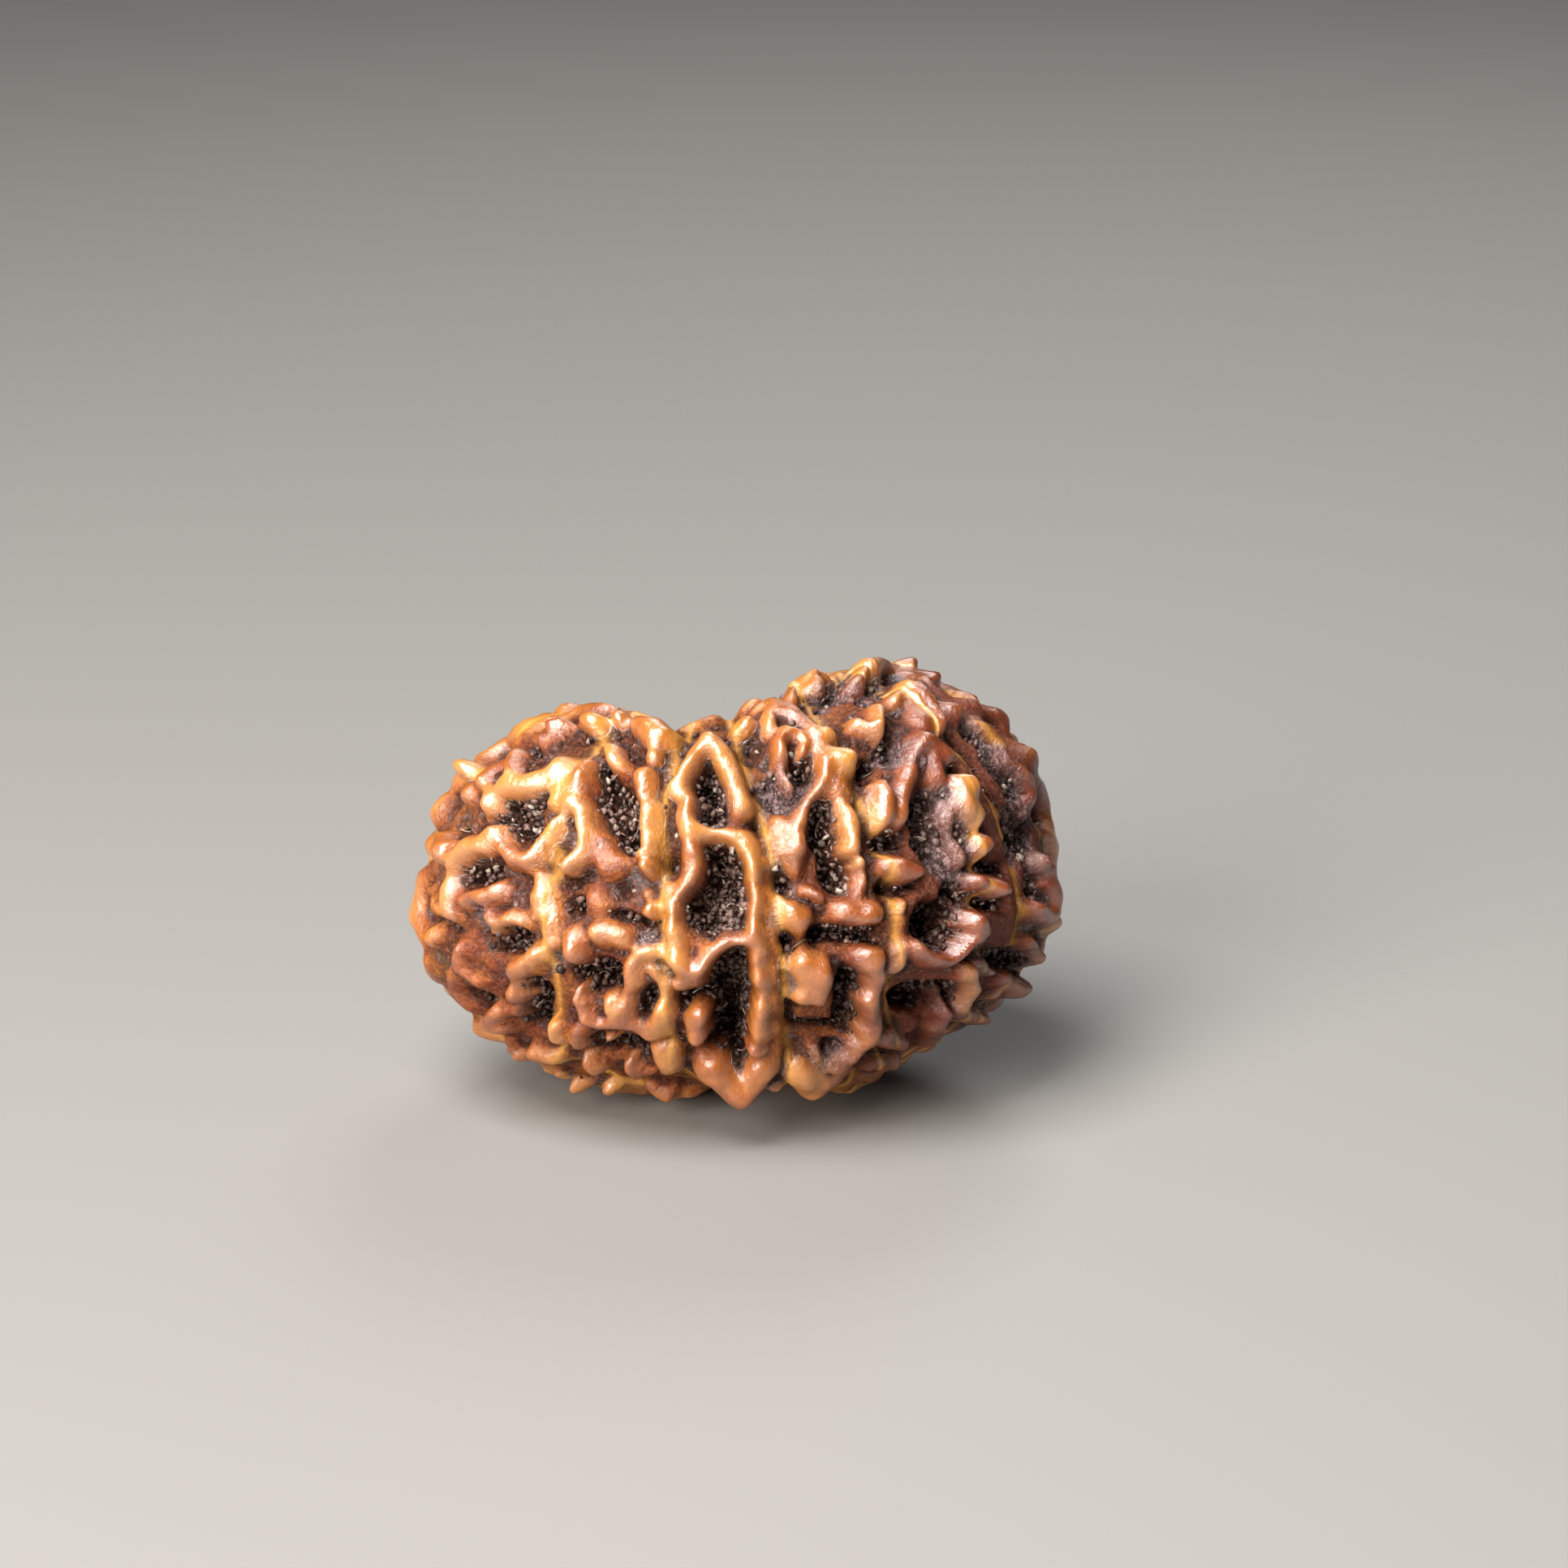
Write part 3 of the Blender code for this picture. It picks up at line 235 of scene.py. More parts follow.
# Forms that the front view shows: height and half width in millimetres, then x and y of each point in its
# pixels. A height below nought is a pit.
FACE_1 = (
    ("upper edge knob", 1.5, 0.7, 518, 1028, 522, 1044),
    ("middle edge knob", 0.7, 0.4, 518, 1095),
    ("lower edge knob", 0.5, 0.4, 528, 1102, 528, 1120),
    ("round edge knob", 1.1, 0.6, 514, 1156),
    ("lower edge ridge", 0.7, 0.5, 548, 1200, 552, 1225, 568, 1246),
)
FACE_2 = (
    ("round knob", 1.0, 0.65, 567, 970),
    ("bent knob", 1.0, 0.6, 590, 955, 598, 940, 612, 934),
    ("edge knob", 0.8, 0.5, 576, 945),
    ("tall knob", 1.15, 0.5, 627, 915, 625, 946),
    ("brow", 1.0, 0.78, 592, 988, 594, 972, 612, 965, 640, 961, 668, 953, 686, 940),
    ("brow end", 0.95, 0.85, 686, 936, 684, 962, 678, 978),
    ("domed knob", 0.8, 0.7, 662, 904),
    ("upper pit", -1.0, 0.42, 648, 933, 662, 930),
    ("round pit, upper half", -0.95, 0.78, 622, 988, 645, 986),
    ("round pit, lower half", -0.95, 0.72, 628, 1012, 645, 1015),
    ("round pit, low corner", -1.0, 0.36, 632, 1035),
    ("cleft under the brow", -0.8, 0.25, 660, 993, 685, 988),
    ("round pit, lower lip", 1.0, 0.55, 602, 1018, 608, 1043, 620, 1058, 636, 1060, 650, 1050, 662, 1032,
     674, 1012),
    ("shoulder hollow", -0.6, 0.6, 568, 1002, 572, 1022),
    ("left brow", 1.0, 0.6, 598, 1020, 588, 1038, 566, 1044, 552, 1056, 545, 1070, 542, 1090, 541, 1128),
    ("middle hollow", -0.8, 0.6, 580, 1076, 606, 1078),
    ("finger", 0.9, 0.5, 562, 1110, 580, 1104, 604, 1099),
    ("finger tip", 0.8, 0.35, 612, 1100),
    ("grey hollow", -0.6, 0.36, 603, 1112, 605, 1128),
    ("hollow lip", 0.8, 0.36, 590, 1122, 600, 1136),
    ("red hollow", -0.8, 0.46, 567, 1133),
    ("pointed knob", 1.0, 0.58, 655, 1084, 651, 1114),
    ("right ridge", 0.85, 0.6, 660, 1105, 668, 1130, 668, 1160),
    ("eye brow", 0.8, 0.5, 596, 1152, 608, 1138, 625, 1130, 642, 1132),
    ("eye", -1.2, 0.68, 615, 1155, 638, 1155),
    ("grain, left", 0.5, 0.3, 578, 1175),
    ("grain, middle", 0.5, 0.3, 603, 1178),
    ("grain, low", 0.5, 0.3, 603, 1193),
    ("side ridge", 0.7, 0.5, 560, 1165, 560, 1195, 580, 1210),
    ("hook", 1.0, 0.6, 650, 1178, 638, 1186, 624, 1196, 618, 1214, 622, 1238, 618, 1258),
    ("deep pit", -1.5, 0.76, 652, 1214, 650, 1238, 657, 1254),
    ("small pit", -0.9, 0.4, 590, 1228, 606, 1230),
    ("bottom knob", 1.0, 0.56, 592, 1250, 588, 1266, 602, 1272),
    ("gloss knob", 1.0, 0.6, 672, 1275, 680, 1287),
    ("low edge ridge", 0.6, 0.34, 622, 1280, 634, 1294),
    ("low edge knob", 0.8, 0.42, 638, 1300),
    ("low knob", 1.0, 0.7, 652, 1305, 674, 1311),
    ("last knob", 0.7, 0.4, 690, 1324),
)
FACE_3 = (
    ("top left knob", 1.4, 0.5, 672, 882),
    ("top second knob", 1.1, 0.42, 690, 884),
    ("top third knob", 1.5, 0.8, 720, 872),
    ("top fourth knob", 1.4, 0.55, 757, 874),
    ("top dome", 1.3, 0.9, 790, 880, 808, 896),
    ("top left pit", -0.8, 0.4, 730, 910),
    ("top right pit", -0.8, 0.4, 770, 906),
    ("yellow knob", 1.0, 0.6, 748, 918, 755, 934),
    ("pale knob", 0.9, 0.5, 800, 921),
    ("slit", -0.6, 0.26, 785, 935, 801, 936),
    ("left crest", 0.95, 0.6, 720, 936, 711, 952, 703, 970, 700, 984),
    ("loop", 1.0, 0.5, 702, 984, 712, 1002, 716, 1024, 712, 1045, 698, 1058, 690, 1068),
    ("loop, seam side", 0.8, 0.42, 698, 986, 686, 1008, 682, 1032),
    ("loop hollow", -0.7, 0.45, 697, 1014, 697, 1036),
    ("tall pit, upper end", -1.2, 0.45, 748, 948, 750, 974),
    ("tall pit", -1.0, 0.8, 756, 988, 765, 1010),
    ("tall pit, lower end", -1.2, 0.6, 776, 1034),
    ("pit wall knob", 1.05, 0.7, 786, 946, 788, 970),
    ("orange knob", 1.0, 0.7, 797, 992, 800, 1026),
    ("pale rung", 0.8, 0.36, 785, 1048, 803, 1046),
    ("smooth slope", 0.6, 0.95, 728, 1015, 740, 1040, 752, 1062),
    ("knob by the seam", 0.95, 0.5, 793, 1066),
    ("pearl", 0.6, 0.28, 795, 1098),
    ("pearl by the seam", 0.9, 0.4, 814, 1092, 815, 1112),
    ("lower knob by the seam", 0.9, 0.5, 796, 1120),
    ("brown cleft", -0.6, 0.3, 702, 1086, 724, 1078),
    ("grainy hollow", -0.35, 0.55, 767, 1096),
    ("orange mound", 0.5, 0.8, 737, 1108),
    ("groove", -0.8, 0.28, 765, 1126, 800, 1137),
    ("black hollow", -1.1, 0.48, 708, 1117),
    ("glossy saddle", 0.95, 0.75, 735, 1150, 757, 1156),
    ("glossy rung", 0.9, 0.5, 782, 1176, 808, 1176),
    ("lilac hollow", -0.3, 0.4, 800, 1155),
    ("knob by the left seam", 0.95, 0.76, 697, 1160, 700, 1184),
    ("dark pit", -1.4, 0.74, 724, 1200, 746, 1200),
    ("left blade", 0.9, 0.5, 704, 1220, 710, 1240, 717, 1256),
    ("glossy pad", 0.85, 0.5, 743, 1230, 750, 1246),
    ("middle blade", 0.9, 0.6, 778, 1190, 776, 1215, 770, 1244, 756, 1261),
    ("lower rim", 0.85, 0.5, 717, 1256, 732, 1265, 756, 1262, 780, 1268, 796, 1280),
    ("small black pit", -1.1, 0.5, 797, 1222, 800, 1235),
    ("small pit, right wall", 0.8, 0.45, 800, 1194, 813, 1210, 816, 1236),
    ("drop", 1.05, 0.7, 808, 1250, 806, 1280),
    ("cavity", -1.2, 0.7, 745, 1284, 766, 1281, 786, 1290),
    ("berry", 0.9, 0.44, 744, 1288),
    ("corner knob", 0.9, 0.6, 703, 1276, 707, 1296),
    ("bottom left knob", 1.0, 0.5, 768, 1318, 779, 1334),
    ("bottom saddle", 0.7, 0.5, 797, 1325),
    ("bottom right knob", 1.1, 0.75, 814, 1305, 820, 1328),
    ("left tooth", 1.0, 0.5, 716, 1312, 729, 1326),
    ("edge tooth", 1.0, 0.45, 712, 1340),
    ("middle tooth", 1.0, 0.45, 750, 1343),
    ("wide tooth", 0.8, 0.45, 797, 1346, 820, 1350),
)
FACE_4 = (
    ("arch, left arm", 1.0, 0.62, 868, 910, 854, 924, 842, 946, 828, 966),
    ("arch, right arm", 0.85, 0.75, 872, 910, 892, 934, 906, 962, 914, 992),
    ("notch by the left seam", -0.4, 0.3, 852, 970),
    ("upper left wall", 0.95, 0.62, 844, 980, 842, 1000, 847, 1024, 851, 1048),
    ("upper pit", -1.4, 0.6, 874, 944, 876, 972),
    ("upper pit, grey floor", -0.85, 0.66, 880, 986, 882, 1008),
    ("middle arch", 0.95, 0.62, 852, 1018, 872, 1021, 892, 1026, 911, 1034, 923, 1050, 928, 1072),
    ("middle right wall", 1.0, 0.6, 928, 1072, 929, 1100, 928, 1130, 924, 1150),
    ("middle left wall", 1.0, 0.6, 851, 1048, 852, 1064, 848, 1080, 836, 1092, 828, 1104, 827, 1130,
     826, 1150),
    ("gloss knob", 1.05, 0.66, 825, 1152, 826, 1180),
    ("lip", 1.0, 0.62, 828, 1184, 840, 1196, 854, 1201, 868, 1190, 882, 1174, 896, 1161, 912, 1154,
     926, 1150),
    ("lip, lower side", 0.75, 0.6, 836, 1212, 854, 1210, 868, 1198),
    ("slope over the lip", 0.35, 0.7, 846, 1165, 866, 1172),
    ("middle pit", -1.7, 0.8, 888, 1060, 891, 1095),
    ("middle pit, grey floor", -1.5, 1.0, 880, 1121, 893, 1127),
    ("lower pit", -1.95, 0.84, 901, 1184, 900, 1215, 899, 1250, 897, 1290),
    ("lower pit, bottom", -1.7, 0.75, 896, 1300),
    ("lower pit, left arm", -1.4, 0.42, 890, 1220, 866, 1227, 842, 1232),
    ("block", 1.05, 0.78, 857, 1256, 858, 1284),
    ("lower right wall", 1.0, 0.62, 928, 1150, 934, 1178, 936, 1214, 935, 1250, 936, 1286),
    ("wall foot", 1.1, 0.6, 933, 1303),
    ("strap", 0.5, 0.62, 942, 1046, 947, 1090, 951, 1140, 953, 1190, 954, 1250, 955, 1310),
    ("seam hollow", -0.6, 0.35, 925, 1017),
    ("little hollow", -0.7, 0.42, 829, 1067),
    ("tooth, left side", 1.3, 1.0, 872, 1326, 904, 1360),
    ("tooth, right side", 1.3, 0.95, 940, 1330, 908, 1360),
    ("tooth tip", 1.6, 0.8, 908, 1364),
)
FACE_5 = (
    ("notch knob", 1.0, 0.72, 914, 886),
    ("crest knob", 0.75, 0.5, 932, 870, 950, 862),
    ("pale knob", 0.95, 0.45, 945, 874, 947, 895),
    ("pale bead", 0.9, 0.4, 968, 895),
    ("strap", 0.85, 0.7, 952, 868, 976, 872, 996, 885, 1010, 902, 1020, 922),
    ("crater rim", 1.0, 0.4, 963, 928, 960, 912, 968, 901, 984, 899, 994, 909, 993, 924),
    ("crater", -0.1, 0.42, 977, 917),
    ("second rim", 0.8, 0.36, 966, 934, 965, 954, 974, 966),
    ("second crater", -0.9, 0.46, 986, 948, 991, 957),
    ("small hollow", -0.6, 0.3, 948, 943),
    ("grainy hollow", -0.5, 0.55, 925, 930, 934, 914),
    ("lilac hollow", -0.5, 0.8, 958, 976, 984, 984),
    ("blade", 1.0, 0.5, 1020, 934, 1014, 956, 1006, 974, 994, 994, 985, 1018, 986, 1045),
    ("upper plane", 0.7, 0.95, 1027, 955, 1038, 978),
    ("left plane", 0.7, 0.95, 966, 1022, 971, 1062),
    ("black dot", -1.1, 0.32, 1004, 1013),
    ("tall pit", -0.95, 0.66, 1014, 1008, 1020, 1036),
    ("tall pit, lower end", -1.3, 0.64, 1031, 1060, 1030, 1080),
    ("orange column", 1.0, 0.65, 1052, 1000, 1053, 1040),
    ("pale cap", 0.9, 0.36, 1042, 988),
    ("pearl", 0.95, 0.4, 1065, 1058),
    ("right ridge", 0.7, 0.5, 1064, 1062, 1060, 1098),
    ("seam pit", -1.0, 0.42, 962, 1073, 965, 1092),
    ("left glint", 0.8, 0.36, 996, 1095, 1009, 1104),
    ("middle glint", 0.7, 0.3, 1028, 1115),
    ("seam glint", 0.7, 0.28, 962, 1106, 965, 1120),
    ("cheek", 1.0, 0.8, 1046, 1124, 1064, 1131, 1078, 1128),
    ("left cheek", 0.9, 0.76, 976, 1128, 985, 1139),
    ("recess", -1.3, 0.5, 1008, 1152, 1040, 1150, 1066, 1152),
    ("seam slot", -1.0, 0.32, 968, 1160, 972, 1176),
    ("block, left half", 1.15, 0.74, 992, 1190, 992, 1234),
    ("block, right half", 1.05, 0.68, 1012, 1196, 1015, 1234),
    ("side slot", -0.7, 0.26, 972, 1198, 973, 1256),
    ("right pit", -1.5, 0.52, 1046, 1200, 1044, 1232, 1042, 1260),
    ("foot slot", -1.2, 0.36, 986, 1263, 1016, 1263, 1042, 1264),
    ("round knob", 1.1, 0.86, 1078, 1185),
    ("long knob", 0.95, 0.74, 1084, 1208, 1074, 1236, 1078, 1262, 1070, 1288, 1056, 1308),
    ("low grey hollow", -0.6, 0.6, 1006, 1290, 1035, 1284),
    ("low pale knob", 0.8, 0.5, 1008, 1305, 1012, 1319),
    ("low plane", 0.9, 0.8, 1032, 1316, 1048, 1320),
    ("low brown hollow", -0.5, 0.5, 982, 1306),
    ("tooth", 1.3, 1.0, 988, 1338, 1006, 1354),
    ("tooth side", 1.0, 0.8, 1026, 1342),
    ("tooth between", 0.8, 0.5, 952, 1345),
)
FACE_6 = (
    ("crest spike", 0.95, 0.4, 978, 834, 974, 856),
    ("crest dome", 1.0, 0.82, 1004, 834),
    ("wet hollow", -0.5, 0.75, 1012, 862, 1042, 858, 1076, 852),
    ("wet hollow, left end", -0.8, 0.3, 1013, 874),
    ("wet hollow, right end", -0.8, 0.3, 1064, 868),
    ("peak crest", 1.0, 0.75, 1058, 834, 1084, 824, 1110, 818, 1134, 816, 1150, 828),
    ("peak face", 1.0, 1.1, 1136, 838, 1142, 860, 1152, 878),
    ("peak gloss", 1.0, 0.5, 1121, 839, 1108, 856),
    ("peak hollow", -0.7, 0.34, 1120, 878, 1134, 870),
    ("yellow spike", 1.1, 0.46, 1084, 866, 1085, 886),
    ("yellow band", 0.95, 0.4, 1056, 882, 1072, 890, 1090, 899),
    ("pale bead", 1.0, 0.5, 1028, 895),
    ("big pearl", 1.2, 0.86, 1048, 925),
    ("groove by the bead", -0.5, 0.22, 1020, 906, 1034, 903),
    ("maroon pit", -1.0, 0.55, 1070, 912, 1086, 915),
    ("hole under the pearl", -1.2, 0.32, 1054, 950, 1072, 944),
    ("lower hole", -0.8, 0.3, 1065, 963),
    ("grey hollow", -0.45, 0.62, 1092, 931, 1114, 936),
    ("column", 1.2, 0.62, 1095, 962, 1094, 1006),
    ("column side", 0.6, 0.4, 1075, 985),
    ("ridge apex, left arm", 1.0, 0.55, 1139, 914, 1134, 932, 1129, 956, 1120, 982, 1114, 1012),
    ("ridge apex, right arm", 0.75, 0.62, 1146, 914, 1156, 942, 1168, 980, 1182, 1018, 1194, 1058),
    ("grey face, dark top", -1.1, 0.5, 1140, 988, 1156, 988),
    ("grey face", -0.7, 0.85, 1144, 1008, 1158, 1022),
    ("grey face, low", -0.45, 0.9, 1150, 1040, 1170, 1064),
    ("grey face, hole", -1.3, 0.34, 1134, 1045, 1148, 1054),
    ("lilac slope", 0.15, 0.7, 1176, 1088),
    ("nose", 1.05, 0.6, 1108, 1068, 1136, 1076),
    ("maroon hollow", -0.8, 0.5, 1086, 1036, 1104, 1036),
    ("shadow under the nose", -0.7, 0.4, 1086, 1093, 1102, 1098, 1126, 1091),
    ("thin gloss", 0.7, 0.3, 1117, 1108, 1115, 1126),
    ("black pit, upper half", -1.8, 0.72, 1176, 1112, 1178, 1136),
    ("black pit, lower half", -1.7, 0.95, 1152, 1142, 1172, 1150),
    ("black pit, rim", 0.9, 0.55, 1139, 1172, 1150, 1185, 1170, 1188, 1190, 1178, 1204, 1165),
    ("brown column", 0.5, 0.5, 1111, 1138, 1111, 1160),
    ("tan knob", 0.9, 0.6, 1116, 1176, 1113, 1196),
    ("dark pit", -1.5, 0.8, 1122, 1228, 1142, 1230, 1158, 1226),
    ("dark pit, rim", 0.8, 0.4, 1180, 1228, 1172, 1250, 1163, 1268, 1155, 1284),
    ("mauve knob", 0.95, 0.75, 1098, 1285, 1115, 1296),
    ("mauve slope", 0.4, 0.7, 1124, 1266),
    ("low knob", 0.8, 0.5, 1155, 1270, 1153, 1286),
    ("last knob", 0.8, 0.6, 1076, 1320, 1100, 1311),
)
FACE_7 = (
    ("collar", 0.95, 0.6, 1142, 905, 1160, 915, 1182, 929),
    ("hole", -1.5, 0.5, 1173, 951),
    ("big gloss knob", 1.2, 0.8, 1200, 960, 1205, 985, 1214, 1004),
    ("second hole", -1.2, 0.4, 1200, 1022, 1208, 1030),
    ("second knob", 1.15, 0.66, 1225, 1038),
    ("slot", -1.0, 0.32, 1206, 1063, 1220, 1066, 1238, 1070),
    ("long knob", 1.1, 0.6, 1216, 1085, 1250, 1095),
    ("gap", -1.2, 0.36, 1208, 1108, 1236, 1113),
    ("seam wall", 0.7, 0.4, 1192, 1102, 1202, 1126, 1204, 1150),
    ("third knob", 1.0, 0.76, 1215, 1136, 1221, 1154),
    ("grey pit", -1.1, 0.5, 1215, 1178, 1252, 1184, 1268, 1198),
    ("grey knob", 0.8, 0.46, 1213, 1189, 1229, 1200),
    ("orange knob", 0.9, 0.7, 1198, 1202, 1207, 1224, 1200, 1240),
    ("low knob", 0.9, 0.56, 1190, 1250, 1207, 1258),
    ("side knob", 0.9, 0.6, 1246, 1212, 1254, 1224),
    ("small side knob", 0.7, 0.45, 1230, 1230),
)
FACE_8 = (
    ("grey strip, upper end", -0.6, 0.36, 1180, 898, 1208, 922),
    ("grey strip", -0.65, 0.6, 1218, 934, 1236, 958, 1250, 986),
    ("grey strip, lower end", -0.8, 0.75, 1262, 1012, 1268, 1060),
    ("upper crack", -1.0, 0.22, 1166, 886, 1200, 898, 1222, 909, 1240, 930, 1248, 955),
    ("lower crack", -0.8, 0.2, 1160, 900, 1180, 918, 1200, 939, 1213, 960, 1226, 985, 1238, 1002),
    ("torn gap", -0.9, 0.5, 1245, 1010, 1255, 1034, 1250, 1050),
    ("edge crack", -0.9, 0.24, 1292, 1036, 1287, 1068, 1264, 1090),
    ("dark gap", -0.9, 0.44, 1268, 1106, 1275, 1144),
)
FACE_9 = (
    ("smooth shoulder", 0.75, 0.8, 1170, 868, 1200, 880, 1226, 891, 1241, 906, 1250, 930),
    ("upper lobe", 0.7, 0.7, 1264, 946, 1279, 966, 1282, 1000),
    ("edge lobe", 0.9, 0.9, 1297, 1056, 1305, 1086, 1307, 1104),
    ("lower edge lobe", 0.9, 0.65, 1291, 1120, 1307, 1138),
    ("last edge lobe", 0.8, 0.5, 1279, 1166, 1285, 1184),
)
FRONT_FORMS = FACE_1 + FACE_2 + FACE_3 + FACE_4 + FACE_5 + FACE_6 + FACE_7 + FACE_8 + FACE_9

# The net of ridges and pits that the other faces carry, drawn with a fixed seed
SEED = 15
CELL_ROWS = 8
CELL_HEIGHTS = (-70, 64)
CELL_JITTER = 0.22
CELL_PLACES = (0.27, 0.73)
NET_REACH = 1.5
NET_BLUNT = 1.5
NET_HEIGHT = 0.7
KNOT_REACH = 1.5
KNOT_HEIGHT = 0.6
NET_POWER = 1.5
AT_ONCE = 4000
NET_PITS = (0.4, 1.5)
NET_FLOOR = (0.6, 2.0)
FRONT_EDGE = (0.28, -0.02)
TOP_EDGE = (0.22, 0.02)
TOP_START = math.radians(20)

# Patterns in the materials that are only felt as roughness, in millimetres, and settings that nodes share
GRAIN_SIZE = 0.22
SKIN_SIZE = 0.6
PULP_GRAIN = 0.08
SMOOTH = {"interpolation_type": "SMOOTHSTEP"}
COLOURS = {"data_type": "RGBA"}

# The photograph's camera
FRAME = 1932
LENS = 120
SENSOR = 36

# The floor and the light: each lamp's name, place and watts, its size in millimetres and its colour
FLOOR_COLOUR = "#8f8c88"
FLOOR_RADIUS = 1.2
AIR_COLOUR = "#e9ebee"
AIR_STRENGTH = 0.02
LAMPS = (
    ("key_lamp", (-150, -215, 120), 1.2, 150, "#fffaf4"),
    ("top_lamp", (-85, -105, 270), 1.55, 180, "#ffffff"),
    ("back_lamp", (60, 190, 190), 0.2, 100, "#ffffff"),
)


def smooth_step(value, low, high):
    """Nought below low, one above high, and a smooth rise between them; low may be the higher one."""
    share = np.clip((value - low) / (high - low), 0, 1)
    return share * share * (3 - 2 * share)


def turned(angle, first, second):
    """A turn by the angle from one axis towards another."""
    turn = np.eye(3)
    turn[first, first] = turn[second, second] = math.cos(angle)
    turn[second, first] = math.sin(angle)
    turn[first, second] = -math.sin(angle)
    return turn


# From the bead's own axes, canal upright, to the way it lies on the table
TURN = turned(-LEAN, 1, 2) @ turned(ROLL, 0, 2)


def direction_of(turn, latitude):
    """The direction with this bearing and latitude in the bead's own axes."""
    across, back = np.sin(turn) * HALF_WIDTH, -np.cos(turn) * HALF_DEPTH
    length = np.hypot(across, back)
    flat = np.cos(latitude)
    return np.stack([across / length * flat, back / length * flat, np.sin(latitude) + 0 * turn], axis=-1)


SWELL_SPOTS = tuple(
    (direction_of(np.radians(turn), np.radians(latitude)), height) for _, turn, latitude, height in SWELLS
)


def bare_radius(directions):
    """How far the bare form reaches from its middle along each direction."""
    across, back, up = np.abs(directions[..., 0]), np.abs(directions[..., 1]), directions[..., 2]
    plan = (across / HALF_WIDTH) ** PLAN_FULLNESS + (back / HALF_DEPTH) ** PLAN_FULLNESS
    plan = plan ** (1 / PLAN_FULLNESS)
    fullness = np.where(up > 0, UPPER_FULLNESS, LOWER_FULLNESS)
    height = np.where(up > 0, UPPER_HEIGHT * (1 + LOBE_GAIN * directions[..., 0]), LOWER_HEIGHT)
    radius = (plan**fullness + (np.abs(up) / height) ** fullness) ** (-1 / fullness)
    off_valley = (radius * directions[..., 0] - VALLEY_OFFSET) / VALLEY_HALF_WIDTH
    share = VALLEY_SHARE + VALLEY_FALL * directions[..., 1]
    valley = share * smooth_step(up, VALLEY_START, VALLEY_END) * np.exp(-(off_valley**2))
    upper_dimple = UPPER_DIMPLE[0] * smooth_step(up, UPPER_DIMPLE[1], 1)
    lower_dimple = LOWER_DIMPLE[0] * smooth_step(-up, LOWER_DIMPLE[1], 1)
    radius = radius * (1 - valley) * (1 - upper_dimple - lower_dimple)
    for spot, swell in SWELL_SPOTS:
        radius = radius + swell * np.exp((directions @ spot - 1) * 2 / SWELL_SPREAD**2)
    return radius


def front_spot(x, y, lift):
    """The direction from the bead's middle to what the view shows at a pixel, lift above the bare form."""
    eye = VIEW_DISTANCE * TO_EYE
    target = (VIEW_MIDDLE_Y - y) * VIEW_PIXEL * VIEW_UP
    target[0] = (x - VIEW_MIDDLE_X) * VIEW_PIXEL
    ray = (target - eye) / np.linalg.norm(target - eye)
    points = (eye + SIGHT_DEPTHS[:, None] * ray) @ TURN
    radii = np.linalg.norm(points, axis=1)
    gaps = radii - bare_radius(points / radii[:, None]) - lift
    inside = np.flatnonzero(gaps < 0)
    nearest = inside[0] if len(inside) else np.argmin(gaps)
    return points[nearest] / radii[nearest]


def front_spots(numbers, lift):
    """The directions to a line of the view's pixels."""
    return np.array([front_spot(x, y, lift) for x, y in zip(numbers[::2], numbers[1::2])])


def bearing(directions):
    """The turn round the canal from the front, measured so that equal turns are near equal lengths of rim."""
    return np.arctan2(directions[..., 0] / HALF_WIDTH, -directions[..., 1] / HALF_DEPTH)


def seam_bearings(latitudes):
    """One row for each seam: its bearing at each latitude. The rear ones run straight from pole to pole."""
    seams = []
    for numbers in FRONT_SEAMS:
        spots = front_spots(numbers, SEAM_LIFT)
        heights = np.arcsin(spots[:, 2])
        order = np.argsort(heights)
        line = np.interp(latitudes, heights[order], bearing(spots)[order])
        width = max(3, len(latitudes) // SEAM_EASE * 2 + 1)
        padded = np.pad(line, width // 2, mode="edge")
        line = np.convolve(padded, np.ones(width) / width, mode="valid")
        seams.append(np.maximum(line, seams[-1] + LEAST_FACE) if seams else line)
    first = seams[0] + 2 * math.pi
    rng = np.random.default_rng(SEED)
    for index in range(1, REAR_SEAMS + 1):
        share = index / (REAR_SEAMS + 1) + rng.uniform(-SEAM_UNEVEN, SEAM_UNEVEN)
        sway = SEAM_UNEVEN * np.sin(3 * latitudes + rng.uniform(0, 6))
        seams.append(seams[len(FRONT_SEAMS) - 1] * (1 - share - sway) + first * (share + sway))
    return np.array(seams + [first])


def near_path(points, path, reach):
    """The indices of the points within reach of a path, and how far each of them is from it."""
    middle = (path.min(axis=0) + path.max(axis=0)) / 2
    spread = np.linalg.norm(path - middle, axis=1).max() + reach
    close = np.flatnonzero(((points - middle) ** 2).sum(axis=1) < spread**2)
    near = points[close]
    nearest = np.linalg.norm(near - path[0], axis=1)
    for start, end in zip(path, path[1:]):
        along = end - start
        share = np.clip((near - start) @ along / (along @ along), 0, 1)
        nearest = np.minimum(nearest, np.linalg.norm(near - start - share[:, None] * along, axis=1))
    return close, nearest


